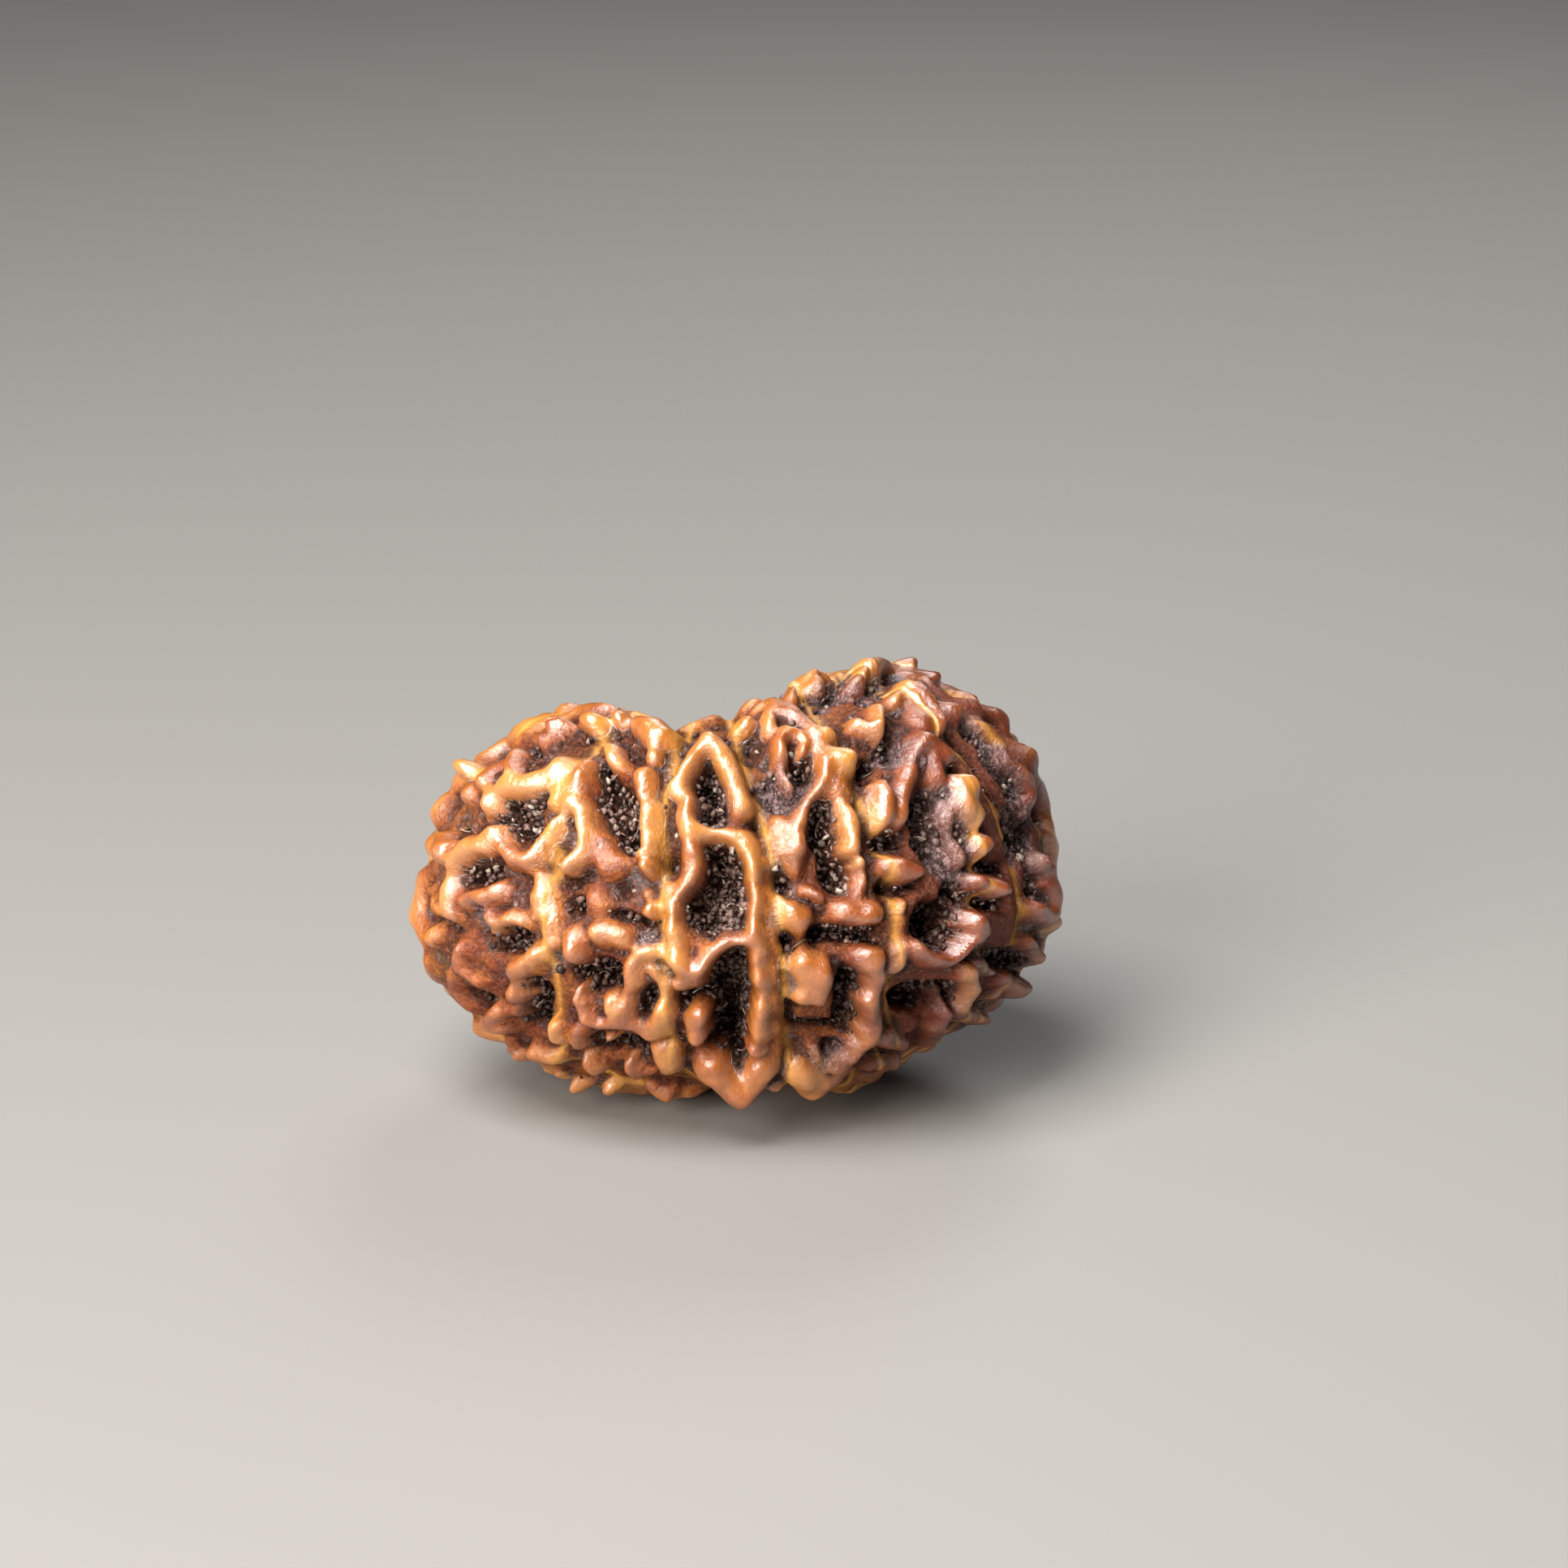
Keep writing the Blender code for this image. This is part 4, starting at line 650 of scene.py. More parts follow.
def front_relief(points):
    """The heights raised and depths sunk by the forms that the view shows, and the tones of their colour."""
    raised = np.zeros(len(points))
    sunk = np.zeros(len(points))
    tones = {tone: np.zeros(len(points)) for tone in TONES}
    for name, height, reach, *numbers in FRONT_FORMS:
        spots = front_spots(numbers, max(height, 0))
        path = spots * bare_radius(spots)[:, None]
        slim = np.clip((BROAD_REACH - reach) / (BROAD_REACH - SLIM_REACH), 0, 1)
        reach *= PIT_SHARE if height < 0 else KNOB_SHARE if len(path) == 1 else LINE_SHARE + FLARE * slim
        close, distance = near_path(points, path, reach)
        if height > 0:
            power = KNOB_POWER if len(path) == 1 else LINE_POWER + SLIM_POWER * slim
            raised[close] += (height * np.clip(1 - (distance / reach) ** FLAT_TOP, 0, 1) ** power) ** MERGE
        else:
            wall = min(PIT_WALL, WALL_SHARE * reach)
            sunk[close] += (-height * smooth_step(distance, reach, reach - wall)) ** MERGE
        for tone, words in TONES.items():
            if any(word in name for word in words):
                cover = smooth_step(distance, reach, TONE_SHARE * reach)
                tones[tone][close] = np.maximum(tones[tone][close], cover)
    return raised ** (1 / MERGE), sunk ** (1 / MERGE), tones


def net_cells(seams, latitudes):
    """Where the net's pits are, two to a row on each face in staggered pairs, and how deep each one is."""
    rng = np.random.default_rng(SEED + 1)
    cells = []
    depths = []
    for face in range(len(seams) - 1):
        for row in range(CELL_ROWS):
            for side in (0, 1):
                share = (row + 0.5 * side + rng.uniform(-CELL_JITTER, CELL_JITTER)) / CELL_ROWS
                latitude = math.radians(CELL_HEIGHTS[0] + share * (CELL_HEIGHTS[1] - CELL_HEIGHTS[0]))
                across = CELL_PLACES[side] + rng.uniform(-CELL_JITTER, CELL_JITTER) * 0.5
                left, right = (np.interp(latitude, latitudes, seams[face + step]) for step in (0, 1))
                spot = direction_of(np.array(left + across * (right - left)), latitude)
                cells.append(spot * bare_radius(spot))
                depths.append(rng.uniform(*NET_PITS))
    return np.array(cells), np.array(depths)


def net_relief(points, seams, latitudes):
    """The heights raised by the net's ridges and knots, and the depths sunk by its pits."""
    cells, depths = net_cells(seams, latitudes)
    raised = np.zeros(len(points))
    sunk = np.zeros(len(points))
    for start in range(0, len(points), AT_ONCE):
        part = slice(start, start + AT_ONCE)
        apart = np.linalg.norm(points[part, None] - cells[None], axis=2)
        order = np.argpartition(apart, 3, axis=1)[:, :3]
        three = np.take_along_axis(apart, order, axis=1)
        sort = np.argsort(three, axis=1)
        three = np.take_along_axis(three, sort, axis=1)
        owner = np.take_along_axis(order, sort, axis=1)[:, 0]
        for beyond, height, reach in ((1, NET_HEIGHT, NET_REACH), (2, KNOT_HEIGHT, KNOT_REACH)):
            gap = (three[:, beyond] - three[:, 0]) / reach
            raised[part] += height * np.clip(1 - gap**2, 0, 1) ** NET_POWER
        sunk[part] = depths[owner] * smooth_step(three[:, 1] - three[:, 0], *NET_FLOOR)
    return raised, sunk


def waves(points, length):
    """A smooth uneven value from about -1 to 1 at each point."""
    return np.array([noise.noise(point / length) for point in points])


def warped(points):
    """The points pushed about a little, so that no form keeps a perfect outline."""
    moved = points
    for push, length in ((WARP, WARP_LENGTH), (FINE_WARP, FINE_WARP_LENGTH)):
        pushes = [waves(points + offset, length) for offset in WARP_OFFSETS]
        moved = moved + push * np.stack(pushes, axis=-1)
    return moved


def eased(field, rounds=1):
    """The field with each value drawn halfway to its neighbours along the rows and round the columns."""
    for _ in range(rounds):
        around = (np.roll(field, 1, axis=1) + np.roll(field, -1, axis=1)) / 4 + field / 2
        padded = np.pad(around, ((1, 1), (0, 0)), mode="edge")
        field = (padded[:-2] + padded[2:]) / 4 + around / 2
    return field


def behind_top(bare, latitudes):
    """One from where the top turns away from the view on to the upper pole, and nought elsewhere."""
    down = np.gradient(bare, axis=0)
    around = np.roll(bare, -1, axis=1) - np.roll(bare, 1, axis=1)
    outward = np.cross(down, around)
    facing = outward @ (TO_EYE @ TURN) / np.linalg.norm(outward, axis=-1)
    cover = smooth_step(facing, *TOP_EDGE) * (latitudes > TOP_START)[:, None]
    return np.maximum.accumulate(cover[::-1])[::-1]


def face_columns(seams, latitudes):
    """Each grid point's turn, its share of the way over its face, and how far it is from a seam."""
    turns = []
    shares = []
    widths = []
    for face, (left, right) in enumerate(zip(seams, seams[1:])):
        front = face < len(FRONT_SEAMS) - 1 or face == len(seams) - 2
        columns = FRONT_COLUMNS if front else REAR_COLUMNS
        ends = [direction_of(side, latitudes) for side in (left, right)]
        ends = [end * bare_radius(end)[:, None] for end in ends]
        for share in np.linspace(0, 1, columns + 1)[:-1]:
            turns.append(left * (1 - share) + right * share)
            shares.append(share)
            widths.append(np.linalg.norm(ends[1] - ends[0], axis=1) * min(share, 1 - share))
    turn = np.stack(turns, axis=1)
    return turn, np.array(shares) + 0 * turn, np.stack(widths, axis=1)


def forms_and_net(bare, seams, latitudes):
    """The heights and depths of the view's forms and of the net, their tones, and what is hidden."""
    points = bare.reshape(-1, 3)
    moved = warped(points)
    raised, sunk, tones = front_relief(moved)
    net_raised, net_sunk = net_relief(moved, seams[:, ::-1], latitudes[::-1])
    outward = points * np.array([HALF_WIDTH, HALF_DEPTH, LOWER_HEIGHT]) ** -2.0
    facing = outward @ (TO_EYE @ TURN) / np.linalg.norm(outward, axis=1)
    hidden = np.maximum(smooth_step(facing, *FRONT_EDGE), behind_top(bare, latitudes).reshape(-1))
    uneven = UNEVEN * waves(points, UNEVEN_LENGTH)
    net_raised = NET_BLUNT * np.tanh(net_raised * (1 + 2 * uneven) / NET_BLUNT)
    raised = raised * (1 + uneven) + hidden * net_raised
    raised = BLUNT * np.tanh(raised / BLUNT)
    spread = eased(raised.reshape(bare.shape[:2]), FILL_ROUNDS).reshape(-1)
    raised = FILL_KEPT * raised + FILL_SHARE * spread
    sunk = (sunk + hidden * net_sunk) * (1 - smooth_step(raised, *PIT_LIP))
    return raised, sunk, tones, hidden


def worn_foot(directions, radius):
    """The radius with the lowest knobs worn down to the table."""
    world = directions @ TURN.T
    fall = np.maximum(-world[..., 2], LEAST_FALL)
    table = np.where(world[..., 2] < -LEAST_FALL, MIDDLE_HEIGHT / fall, np.inf)
    foot = world[..., :2] * (MIDDLE_HEIGHT / fall)[..., None] - FOOT_PLACE
    worn = smooth_step(np.hypot(foot[..., 0], foot[..., 1]), *FOOT_RADII) * (world[..., 2] < -FOOT_SLOPE)
    radius = radius + worn * np.clip(table - radius, 0, WEAR_LIMIT)
    return np.minimum(radius, table)


def bead_points(rows):
    """The bead's surface in millimetres on rows from pole to pole, with each point's turn and its marks."""
    latitudes = np.linspace(UPPER_LATITUDE, LOWER_LATITUDE, rows + 1)
    seams = seam_bearings(latitudes[::-1])[:, ::-1]
    turn, share, from_seam = face_columns(seams, latitudes)
    shape = turn.shape
    directions = direction_of(turn, latitudes[:, None] + 0 * turn)
    radius = bare_radius(directions)
    bare = directions * radius[..., None]
    points = bare.reshape(-1, 3)
    raised, sunk, tones, hidden = forms_and_net(bare, seams, latitudes)

    groove = np.clip(1 - from_seam / SEAM_REACH, 0, 1) ** 2
    thread = np.exp(-((from_seam / THREAD_REACH) ** 2))
    bulge = FACE_BULGE * np.sin(np.pi * share) ** BULGE_POWER
    relief = (bulge - SEAM_DEPTH * groove + THREAD_HEIGHT * thread).reshape(-1)
    relief = relief + WAVE_HEIGHT * waves(points, WAVE_LENGTH) + raised - sunk - GROUND
    floor = 1 - smooth_step(raised, *FLOOR_HEIGHTS)
    level = smooth_step(sunk, *LEVEL_DEPTHS) * floor
    grain = waves(points, GRAIN_LENGTH)
    relief += (LUMP_SHARE + (1 - LUMP_SHARE) * level) * floor * LUMP_HEIGHT * waves(points, LUMP_LENGTH)
    relief += (GRAIN_SHARE + (1 - GRAIN_SHARE) * level) * floor * GRAIN_HEIGHT * grain
    relief += RIPPLE_HEIGHT * waves(points, RIPPLE_LENGTH)

    calm = smooth_step(np.hypot(bare[..., 0], bare[..., 1]), CANAL_RADIUS, CALM_RADIUS)
    relief = eased(relief.reshape(shape)) * calm
    hollow = np.clip((eased(relief, HOLLOW_ROUNDS) - relief) / HOLLOW_REACH, -1, 1)
    relief = relief + HOLLOW_GRAIN * smooth_step(hollow, *DAMP_HOLLOWS) * calm * grain.reshape(shape)

    marks = {name: cover.reshape(shape) for name, cover in tones.items()}
    marks["pit"] = smooth_step(sunk, *PIT_DEPTHS).reshape(shape)
    marks["floor"] = floor.reshape(shape)
    marks["crest"] = smooth_step(raised, *CREST_HEIGHTS).reshape(shape)
    marks["hollow"] = hollow
    marks["glow"] = np.exp(-((from_seam / SEAM_GLOW) ** 2))
    marks["seam"] = groove * (1 - thread) * (1 - smooth_step(np.abs(relief), *SEAM_LEVELS))
    marks["thread"] = thread * (1 - marks["pit"])
    marks["grey"] = marks["grey"] * (1 - GREY_CREST * marks["crest"])
    pale = smooth_step(waves(points, PALE_LENGTH), *PALE_WAVES) * hidden
    marks["pale"] = np.maximum(marks["pale"], PALE_SHARE * pale.reshape(shape))
    return directions * worn_foot(directions, radius + relief)[..., None], turn, marks


def canal_rings(opening, turn, end_turn, rings):
    """Rings of points from an opening of the canal down to its middle."""
    height = opening[:, 2].mean() - math.copysign(CANAL_DEPTH, opening[:, 2].mean())
    middle_turn = (turn + end_turn) / 2
    result = []
    for ring in range(rings):
        share = ring / (rings - 1)
        angle = turn * (1 - share) + middle_turn * share
        spot = direction_of(angle, 0)
        level = height * (1 - share) + 0 * angle
        result.append(np.stack([spot[:, 0] * CANAL_RADIUS, spot[:, 1] * CANAL_RADIUS, level], axis=1))
    return result


def bead_mesh(rows):
    """The bead as a closed mesh: a grid wrapped round it and down its canal, and welded at its edges."""
    outside, turn, marks = bead_points(rows)
    upper = canal_rings(outside[0], turn[0], turn[-1], CANAL_RINGS)
    lower = canal_rings(outside[-1], turn[-1], turn[0], CANAL_RINGS)
    places = np.concatenate([upper[::-1], outside, lower])
    places = np.concatenate([places, places[:, :1]], axis=1)
    places = np.round(places @ TURN.T + MIDDLE, 5)
    padded = {}
    for name, mark in marks.items():
        mark = np.pad(mark, ((CANAL_RINGS, CANAL_RINGS), (0, 0)), mode="edge")
        padded[name] = np.concatenate([mark, mark[:, :1]], axis=1)

    grid = bmesh.new()
    layers = {name: grid.verts.layers.float.new(name) for name in marks}
    bmesh.ops.create_grid(grid, x_segments=places.shape[1] - 1, y_segments=places.shape[0] - 1, size=0.5)
    for vertex in grid.verts:
        column = round((vertex.co.x + 0.5) * (places.shape[1] - 1))
        row = round((vertex.co.y + 0.5) * (places.shape[0] - 1))
        vertex.co = places[row, column] * MM
        for name, layer in layers.items():
            vertex[layer] = float(padded[name][row, column])
    bmesh.ops.remove_doubles(grid, verts=grid.verts, dist=1e-7)
    bmesh.ops.recalc_face_normals(grid, faces=grid.faces)
    mesh = bpy.data.meshes.new(PIECE)
    grid.to_mesh(mesh)
    grid.free()
    mesh.shade_smooth()
    return mesh


def linear(hex_colour):
    """An sRGB hex colour as linear values."""
    values = [int(hex_colour[start : start + 2], 16) / 255 for start in (1, 3, 5)]
    return tuple(v / 12.92 if v <= 0.04045 else ((v + 0.055) / 1.055) ** 2.4 for v in values) + (1.0,)


def fill(node, **inputs):
    """Set or link a node's inputs: an underscore stands for a space, and n6 is input number 6."""
    for name, value in inputs.items():
        socket = node.inputs[int(name[1:]) if name[1:].isdigit() else name.replace("_", " ")]
        if isinstance(value, bpy.types.NodeSocket):
            node.id_data.links.new(value, socket)
        else:
            socket.default_value = value


def add_node(tree, kind, settings=None, **inputs):
    """Add a node with its settings and inputs, and give back its outputs."""
    node = tree.nodes.new("ShaderNode" + kind)
    for name, value in (settings or {}).items():
        setattr(node, name, value)
    fill(node, **inputs)
    return node.outputs


def patches(tree, place, size_mm, detail, roughness, distortion, low, high):
    """Uneven patches about size_mm across: one inside them and nought between, with soft edges."""
    cloud = add_node(
        tree, "TexNoise", Vector=place, Scale=1000 / size_mm, Detail=detail, Roughness=roughness,
        Distortion=distortion,
    )[0]
    return add_node(tree, "MapRange", SMOOTH, Value=cloud, From_Min=low, From_Max=high)[0]


def combined(tree, operation, *parts):
    """The product or the greatest of the parts: marks, or marks each with a gain and what is added to it."""
    whole = None
    for part in parts:
        if isinstance(part, tuple):
            mark, gain, extra = (*part, 0.0)[:3]
            part = add_node(tree, "Math", {"operation": "MULTIPLY_ADD"}, n0=mark, n1=gain, n2=extra)[0]
        if whole is not None:
            part = add_node(tree, "Math", {"operation": operation}, n0=whole, n1=part)[0]
        whole = part
    return whole


def covered(tree, colour, coats):
    """The colour under coats of others, each laid on by the product of its marks."""
    for coat, *parts in coats:
        share = combined(tree, "MULTIPLY", *parts)
        coat = linear(coat) if isinstance(coat, str) else coat
        colour = add_node(tree, "Mix", COLOURS, n0=share, n6=colour, n7=coat)[2]
    return colour


def start_material(name):
    """A new material, its tree of nodes, its shader and the place on the bead that its patterns follow."""
    material = bpy.data.materials.new(name)
    material.use_nodes = True
    tree = material.node_tree
    return material, tree, tree.nodes["Principled BSDF"], add_node(tree, "TexCoord")["Object"]


def oiled_endocarp():
    """Woody stone rubbed with oil: amber, glossy and a little see-through on the ridges, redder to the right,
    dark and grainy in the pits, so the eye reads wet wood over rough hollows. Painted shade darkens the
    hollows, the pits, the underside and the right lobe."""
    material, tree, shader, place = start_material("oiled_rudraksha_endocarp")
    pit, floor, crest, hollow, glow, seam, thread, grey, red, pale = (
        add_node(tree, "Attribute", {"attribute_name": name})["Fac"]
        for name in "pit floor crest hollow glow seam thread grey red pale".split()
    )
    spot = add_node(tree, "SeparateXYZ", Vector=place)

    # Clouds in the wood, dirt, fine specks, oil stains and grit: size in millimetres, detail, roughness,
    # distortion, and where the patches start and are full
    cloud, fleck, speck, stain, grit = (
        patches(tree, place, *numbers)
        for numbers in (
            (1.8, 4.0, 0.55, 0.0, 0.36, 0.64),
            (0.5, 5.0, 0.6, 0.0, 0.44, 0.66),
            (0.17, 4.0, 0.6, 0.0, 0.5, 0.62),
            (1.1, 5.0, 0.65, 0.4, 0.5, 0.62),
            (0.2, 4.0, 0.7, 0.5, 0.48, 0.6),
        )
    )
    # The right lobe, the underside, painted shade in the hollows, ridges, and the hollows that turn damp and
    # rough
    right, under, hollow_shade, ridge, damp, rough_hollow = (
        add_node(tree, "MapRange", SMOOTH, Value=mark, From_Min=low, From_Max=high)[0]
        for mark, low, high in (
            (spot["X"], 0.003, 0.0085),
            (spot["Z"], 0.010, 0.003),
            (hollow, -0.2, 0.6),
            (crest, 0.0, 0.6),
            (hollow, 0.0, 0.4),
            (hollow, 0.0, 0.5),
        )
    )
    low = combined(tree, "MULTIPLY", (crest, -1.0, 1.0))
    ruddy_and_shade = combined(tree, "MAXIMUM", (right, 0.62), (red, 0.7))
    wood, ground, ash, bottom = (
        add_node(tree, "Mix", COLOURS, n0=share, n6=linear(dark), n7=linear(light))[2]
        for share, dark, light in (
            (cloud, "#8f4016", "#b5672c"),
            (grit, "#2a0902", "#8e5030"),
            (grit, "#42211d", "#a5898c"),
            (grit, "#140501", "#55372a"),
        )
    )
    coats = (
        # Amber along the seams of the left lobe, dark specks and dirt, and honey on the crests, strongest on
        # pale forms, in part a painted highlight
        ("#c27a24", (glow, 0.6), (right, -1.0, 1.0)),
        ("#571f0c", speck, (low, 0.35, 0.15)),
        ("#6b260c", fleck, (low, 0.5, 0.25)),
        ("#dc9a54", crest, (pale, 0.45, 0.15)),
        # Purple stains between the ridges, and the redder wood of the right lobe, also darkened there as
        # painted shade on the side away from the lamps
        ("#643428", stain, (low, 0.5)),
        ("#742f1e", ruddy_and_shade, (pale, -0.7, 1.1)),
        # Painted shade in the hollows, bare ground, seams with their pale threads, grey skin that is partly a
        # painted sheen, and the pits, whose dark pulp is deepened with depth as painted shade
        ("#2c0801", (hollow_shade, 0.85)),
        (ground, (floor, 0.45)),
        ("#4a1a0a", (seam, 0.35)),
        ("#d8963f", (thread, 0.75)),
        (ash, (grey, 0.7)),
        (bottom, (pit, 0.95)),
        # Painted shade: darker towards the bottom, more so on the right lobe
        ("#3d0f04", under, (right, 0.35, 0.1)),
    )
    rough = combined(tree, "MULTIPLY", (fleck, 0.12, combined(tree, "MULTIPLY", (floor, 0.08, 0.4))))

    # The oil lies thick on the crests, thin in the pits and underneath, and wets some hollows
    wet = combined(tree, "MULTIPLY", damp, (stain, 0.9))
    oily = combined(tree, "MAXIMUM", ridge, (grey, 0.6), wet)
    oily = combined(tree, "MULTIPLY", (oily, 0.78, 0.22), (pit, -0.95, 1.0), (under, -0.4, 1.0))

    grain = add_node(
        tree, "TexNoise", Vector=place, Scale=1000 / GRAIN_SIZE, Detail=5.0, Roughness=0.65, Distortion=0.4
    )[0]
    skin = add_node(tree, "TexNoise", Vector=place, Scale=1000 / SKIN_SIZE, Detail=3.0, Roughness=0.5)[0]
    rough_ground = combined(tree, "MAXIMUM", floor, grey, rough_hollow, (low, 0.5))
    height = combined(tree, "MULTIPLY", grain, (rough_ground, 0.8, 0.17))
    height = combined(tree, "MULTIPLY", (skin, 0.3, height))
    bump = add_node(tree, "Bump", Strength=1.0, Distance=0.0002, Height=height)["Normal"]
    # The coat's IOR is far above that of oil, because under soft lamps its glints would else be too faint
    fill(
        shader, Base_Color=covered(tree, wood, coats), Roughness=rough, Coat_Weight=oily, Coat_Roughness=0.2,
        Coat_IOR=2.2, Specular_IOR_Level=0.1, Subsurface_Weight=0.1, Subsurface_Radius=(1.0, 0.35, 0.12),
        Subsurface_Scale=0.0007, Normal=bump, Coat_Normal=bump,
    )
    return material


def dried_pulp():
    """Shrunken pulp, near black to ash and straw, with an oily film, so the pits look full of grit."""
    material, tree, shader, place = start_material("dried_pulp_grit")
    tint = add_node(tree, "Attribute", {"attribute_name": "tint"})["Fac"]
    ashen, straw = (
        add_node(tree, "MapRange", SMOOTH, Value=tint, From_Min=low, From_Max=high)[0]
        for low, high in ((0.05, 0.72), (0.72, 1.1))
    )
    mottle = patches(tree, place, 0.12, 3.0, 0.55, 0.0, 0.35, 0.65)
    coats = (("#82655a", ashen), ("#c9bba9", straw), ("#3a2418", (mottle, 0.35)))
    grain = add_node(tree, "TexNoise", Vector=place, Scale=1000 / PULP_GRAIN, Detail=3.0, Roughness=0.55)[0]
    bump = add_node(tree, "Bump", Strength=0.7, Distance=0.00004, Height=grain)["Normal"]
    fill(
        shader, Base_Color=covered(tree, linear("#220b05"), coats), Roughness=0.6, Coat_Weight=0.25,
        Coat_Roughness=0.3, Normal=bump,
    )
    return material


def matt_floor():
    """Smooth pale board, dull enough that it gives a soft shadow and almost no reflection."""
    material, _, shader, _ = start_material("pale_matt_board")
    fill(shader, Base_Color=linear(FLOOR_COLOUR), Roughness=0.6)
    return material


def add_piece(name, mesh, material):
    piece = bpy.data.objects.new(name, mesh)
    bpy.context.scene.collection.objects.link(piece)
    mesh.materials.append(material)
    return piece


def add_floor():
    """A round floor that runs past the edge of the view."""
    disc = bmesh.new()
    bmesh.ops.create_circle(disc, cap_ends=True, segments=96, radius=FLOOR_RADIUS)
    mesh = bpy.data.meshes.new("floor")
    disc.to_mesh(mesh)
    disc.free()
    floor = add_piece("floor", mesh, matt_floor())


def add_lamp(name, place_mm, watts, size_mm, colour):
    """A square lamp that points at the bead's middle."""
    lamp = bpy.data.lights.new(name, "AREA")
    lamp.energy = watts
    lamp.size = size_mm * MM
    lamp.color = linear(colour)[:3]
    holder = bpy.data.objects.new(name, lamp)
    bpy.context.scene.collection.objects.link(holder)
    middle = Vector(MIDDLE) * MM
    holder.location = Vector(place_mm) * MM
    holder.rotation_euler = (middle - holder.location).to_track_quat("-Z", "Y").to_euler()


def add_light():
    """Soft studio light: a key lamp at the left front, a broad one overhead and a dim one behind."""
    for lamp in LAMPS:
        add_lamp(*lamp)
    world = bpy.data.worlds.new("studio")
    bpy.context.scene.world = world
    world.use_nodes = True
    fill(world.node_tree.nodes["Background"], Color=linear(AIR_COLOUR), Strength=AIR_STRENGTH)


def add_camera():
    """The photograph's view, 20 degrees above the table, with the bead left of its middle and below it."""
    data = bpy.data.cameras.new("camera")
    data.lens = LENS
    data.sensor_width = SENSOR
    camera = bpy.data.objects.new("camera", data)
    bpy.context.scene.collection.objects.link(camera)
    back = Vector(TO_EYE)
    up = Vector(VIEW_UP)
    middle = Vector(MIDDLE)
    target = middle + up * ((VIEW_MIDDLE_Y - FRAME / 2) * VIEW_PIXEL)
    target.x += (FRAME / 2 - VIEW_MIDDLE_X) * VIEW_PIXEL
    camera.location = (middle + back * VIEW_DISTANCE) * MM
    camera.rotation_euler = (target * MM - camera.location).to_track_quat("-Z", "Y").to_euler()
    bpy.context.scene.camera = camera


def add_bead():
    bead = add_piece(PIECE, bead_mesh(ROWS), oiled_endocarp())
    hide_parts(NAME)
    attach(bead, "root")
    return bead


def pit_spots(mesh, count, rng):
    """Places on the floors of the pits and hollows, each with the way that the floor faces."""

    def read(items, name, kind=np.float32, width=1):
        values = np.empty(len(items) * width, kind)
        items.foreach_get(name, values)
        return values

    pit, grey, hollow = (read(mesh.attributes[name].data, "value") for name in ("pit", "grey", "hollow"))
    cover = (pit**3 + GREY_PULP * grey**2 + STRAY_PULP) * smooth_step(hollow, *PULP_HOLLOWS)
    corners = read(mesh.loops, "vertex_index", np.int32)
    weights = np.add.reduceat(cover[corners], read(mesh.polygons, "loop_start", np.int32))
    heights = read(mesh.polygons, "center", width=3)[2::3]
    weights = weights * read(mesh.polygons, "area") * (heights > PULP_CLEARANCE * MM)
    chosen = rng.choice(len(weights), count, p=weights / weights.sum())
    return [(mesh.polygons[face].center.copy(), mesh.polygons[face].normal.copy()) for face in chosen]


def heaped(name, spots, add_one):
    """One piece of all the small shapes, made in batches because a small heap is quick to add to."""
    whole = bmesh.new()
    for start in range(0, len(spots), BATCH):
        heap = bmesh.new()
        tint = heap.verts.layers.float.new("tint")
        for place, facing in spots[start : start + BATCH]:
            before = len(heap.verts)
            shade = add_one(heap, place, facing)
            heap.verts.ensure_lookup_table()
            for vertex in heap.verts[before:]:
                vertex[tint] = shade
        batch = bpy.data.meshes.new("batch")
        heap.to_mesh(batch)
        heap.free()
        whole.from_mesh(batch)
        bpy.data.meshes.remove(batch)
    bmesh.ops.recalc_face_normals(whole, faces=whole.faces)
    mesh = bpy.data.meshes.new(name)
    whole.to_mesh(mesh)
    whole.free()
    mesh.shade_smooth()
    piece = add_piece(name, mesh, dried_pulp())
    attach(piece, "root")


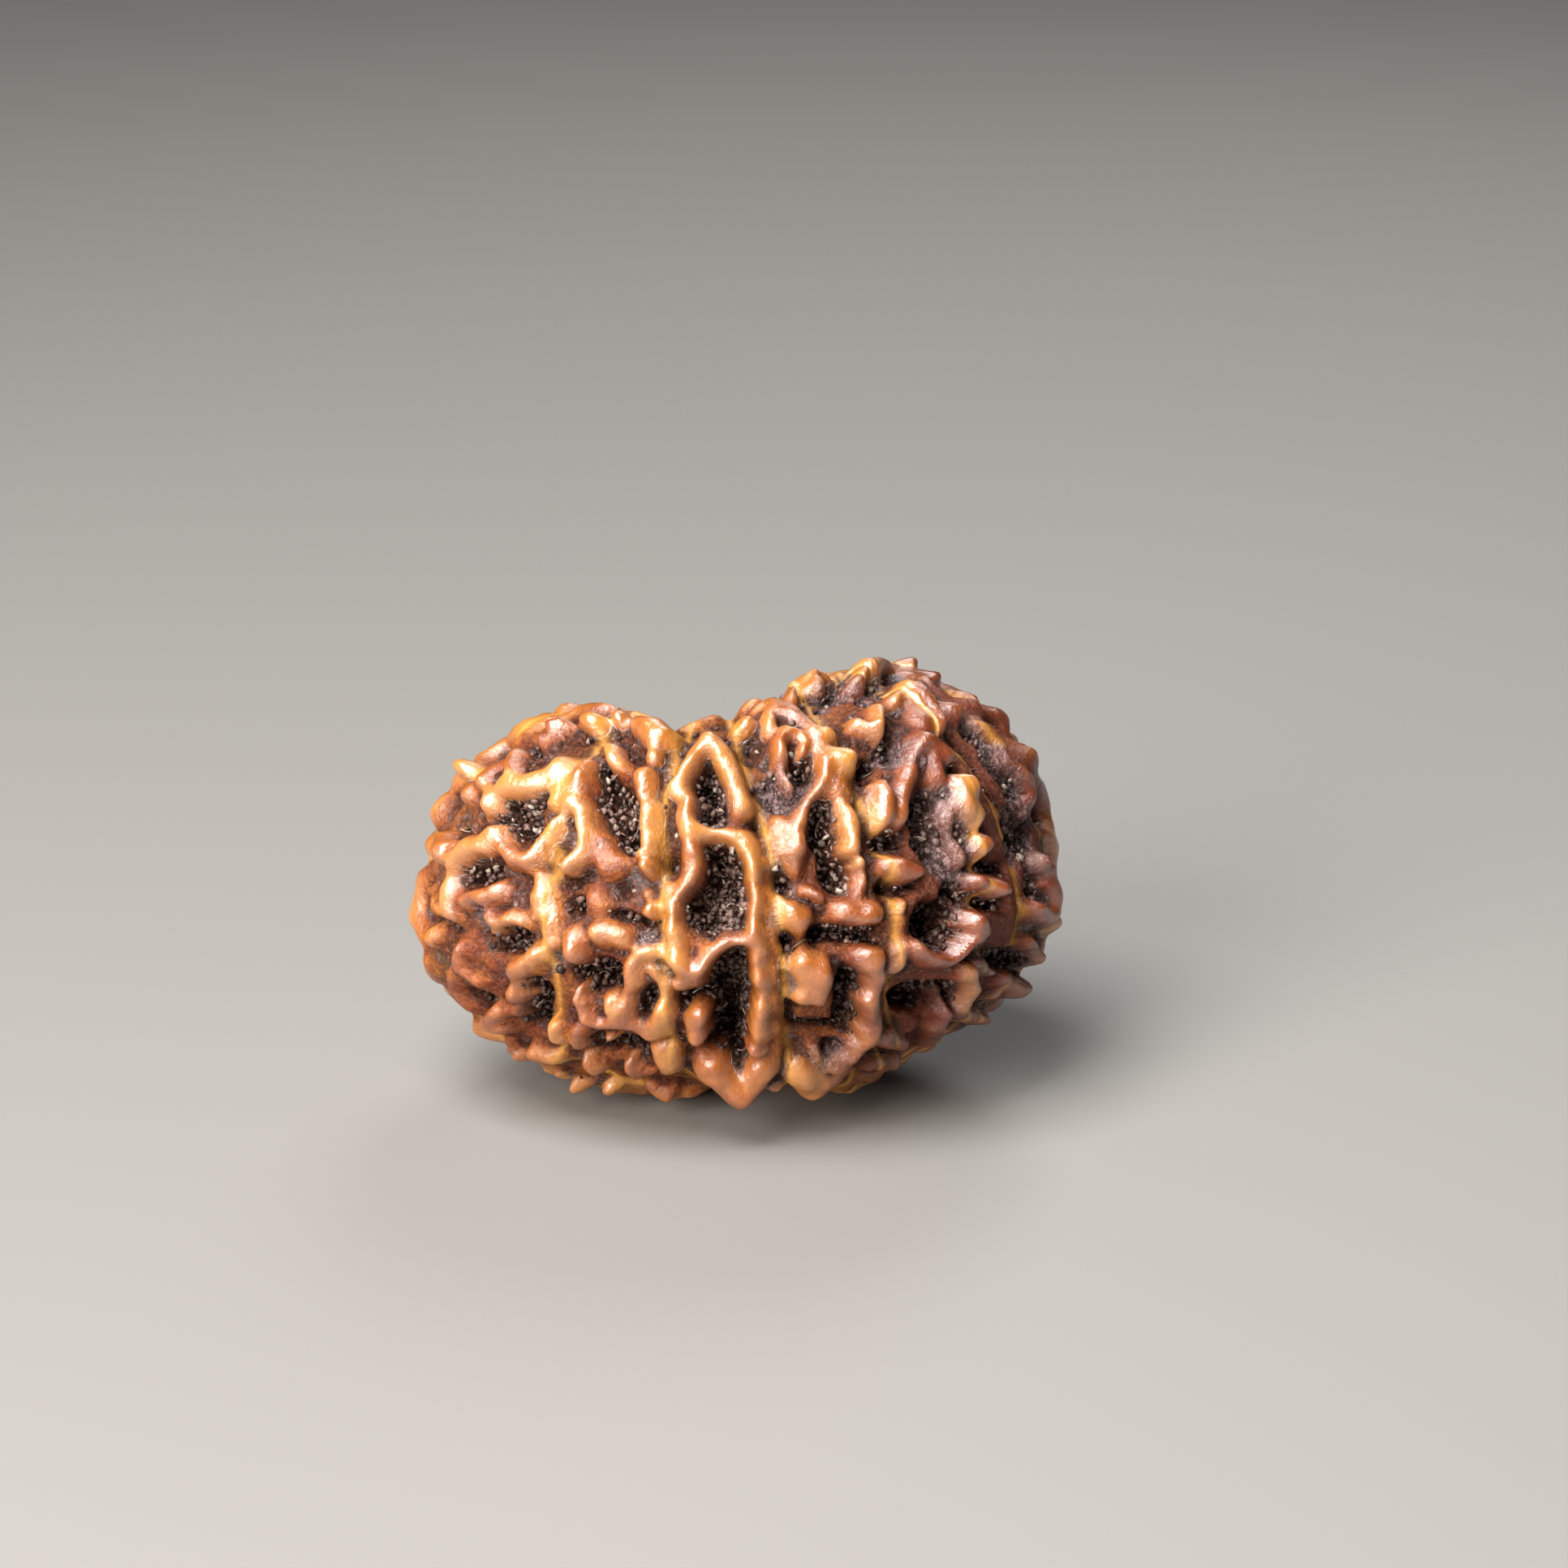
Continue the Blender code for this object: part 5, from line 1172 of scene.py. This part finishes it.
def add_crumbs(bead, rng):
    """Uneven grains half sunk in the floors of the pits."""

    def crumb(heap, place, facing):
        size = rng.uniform(*CRUMB_RADIUS) * MM
        turn = Quaternion(rng.normal(size=4)).normalized().to_matrix().to_4x4()
        stretch = Matrix.Diagonal([*(rng.uniform(*CRUMB_STRETCH, 3) * size), 1])
        spot = Matrix.Translation(place + facing * size * rng.uniform(*CRUMB_LIFT))
        ball = bmesh.ops.create_icosphere(heap, subdivisions=1, radius=1, matrix=spot @ turn @ stretch)
        grains = ball["verts"]
        for vertex, chip in zip(grains, rng.uniform(*CRUMB_CHIPS, len(grains))):
            vertex.co = spot.translation.lerp(vertex.co, chip)
        # Painted shade: a crumb's tint is darker the lower it lies on the bead
        return rng.uniform() * (DIM + (1 - DIM) * smooth_step(place.z / MM, *DIM_HEIGHTS))

    heaped("pit_crumbs", pit_spots(bead, CRUMBS, rng), crumb)


def add_fibres(bead, rng):
    """Short bent fibres that lie on the grains."""

    def fibre(heap, place, facing):
        bend = rng.uniform(*FIBRE_BEND) * MM
        across = facing.orthogonal()
        across.rotate(Quaternion(facing, rng.uniform(0, 2 * math.pi)))
        axle = (facing + across * rng.uniform(-FIBRE_TILT, FIBRE_TILT)).normalized()
        outward = axle.orthogonal().normalized()
        spot = place + facing * rng.uniform(*FIBRE_LIFT) * MM
        turn = axle.cross(outward).to_track_quat("Z", "Y").to_matrix().to_4x4()
        radius = rng.uniform(*FIBRE_RADIUS) * MM
        foot = Matrix.Translation(spot) @ turn
        ring = bmesh.ops.create_circle(heap, segments=4, radius=radius, matrix=foot)["verts"]
        edges = list({edge for vertex in ring for edge in vertex.link_edges})
        end = bmesh.ops.spin(
            heap, geom=ring + edges, cent=spot + outward * bend, axis=axle, angle=rng.uniform(*FIBRE_TURN),
            steps=FIBRE_STEPS,
        )["geom_last"]
        bmesh.ops.contextual_create(heap, geom=ring)
        bmesh.ops.contextual_create(heap, geom=[item for item in end if isinstance(item, bmesh.types.BMVert)])
        return rng.uniform(*FIBRE_TINT)

    heaped("pit_fibres", pit_spots(bead, FIBRES, rng), fibre)


def add_pulp(bead):
    rng = np.random.default_rng(PULP_SEED)
    add_crumbs(bead, rng)
    add_fibres(bead, rng)


bpy.context.scene.view_settings.view_transform = "Standard"
add_pulp(add_bead().data)
add_floor()
add_light()
add_camera()
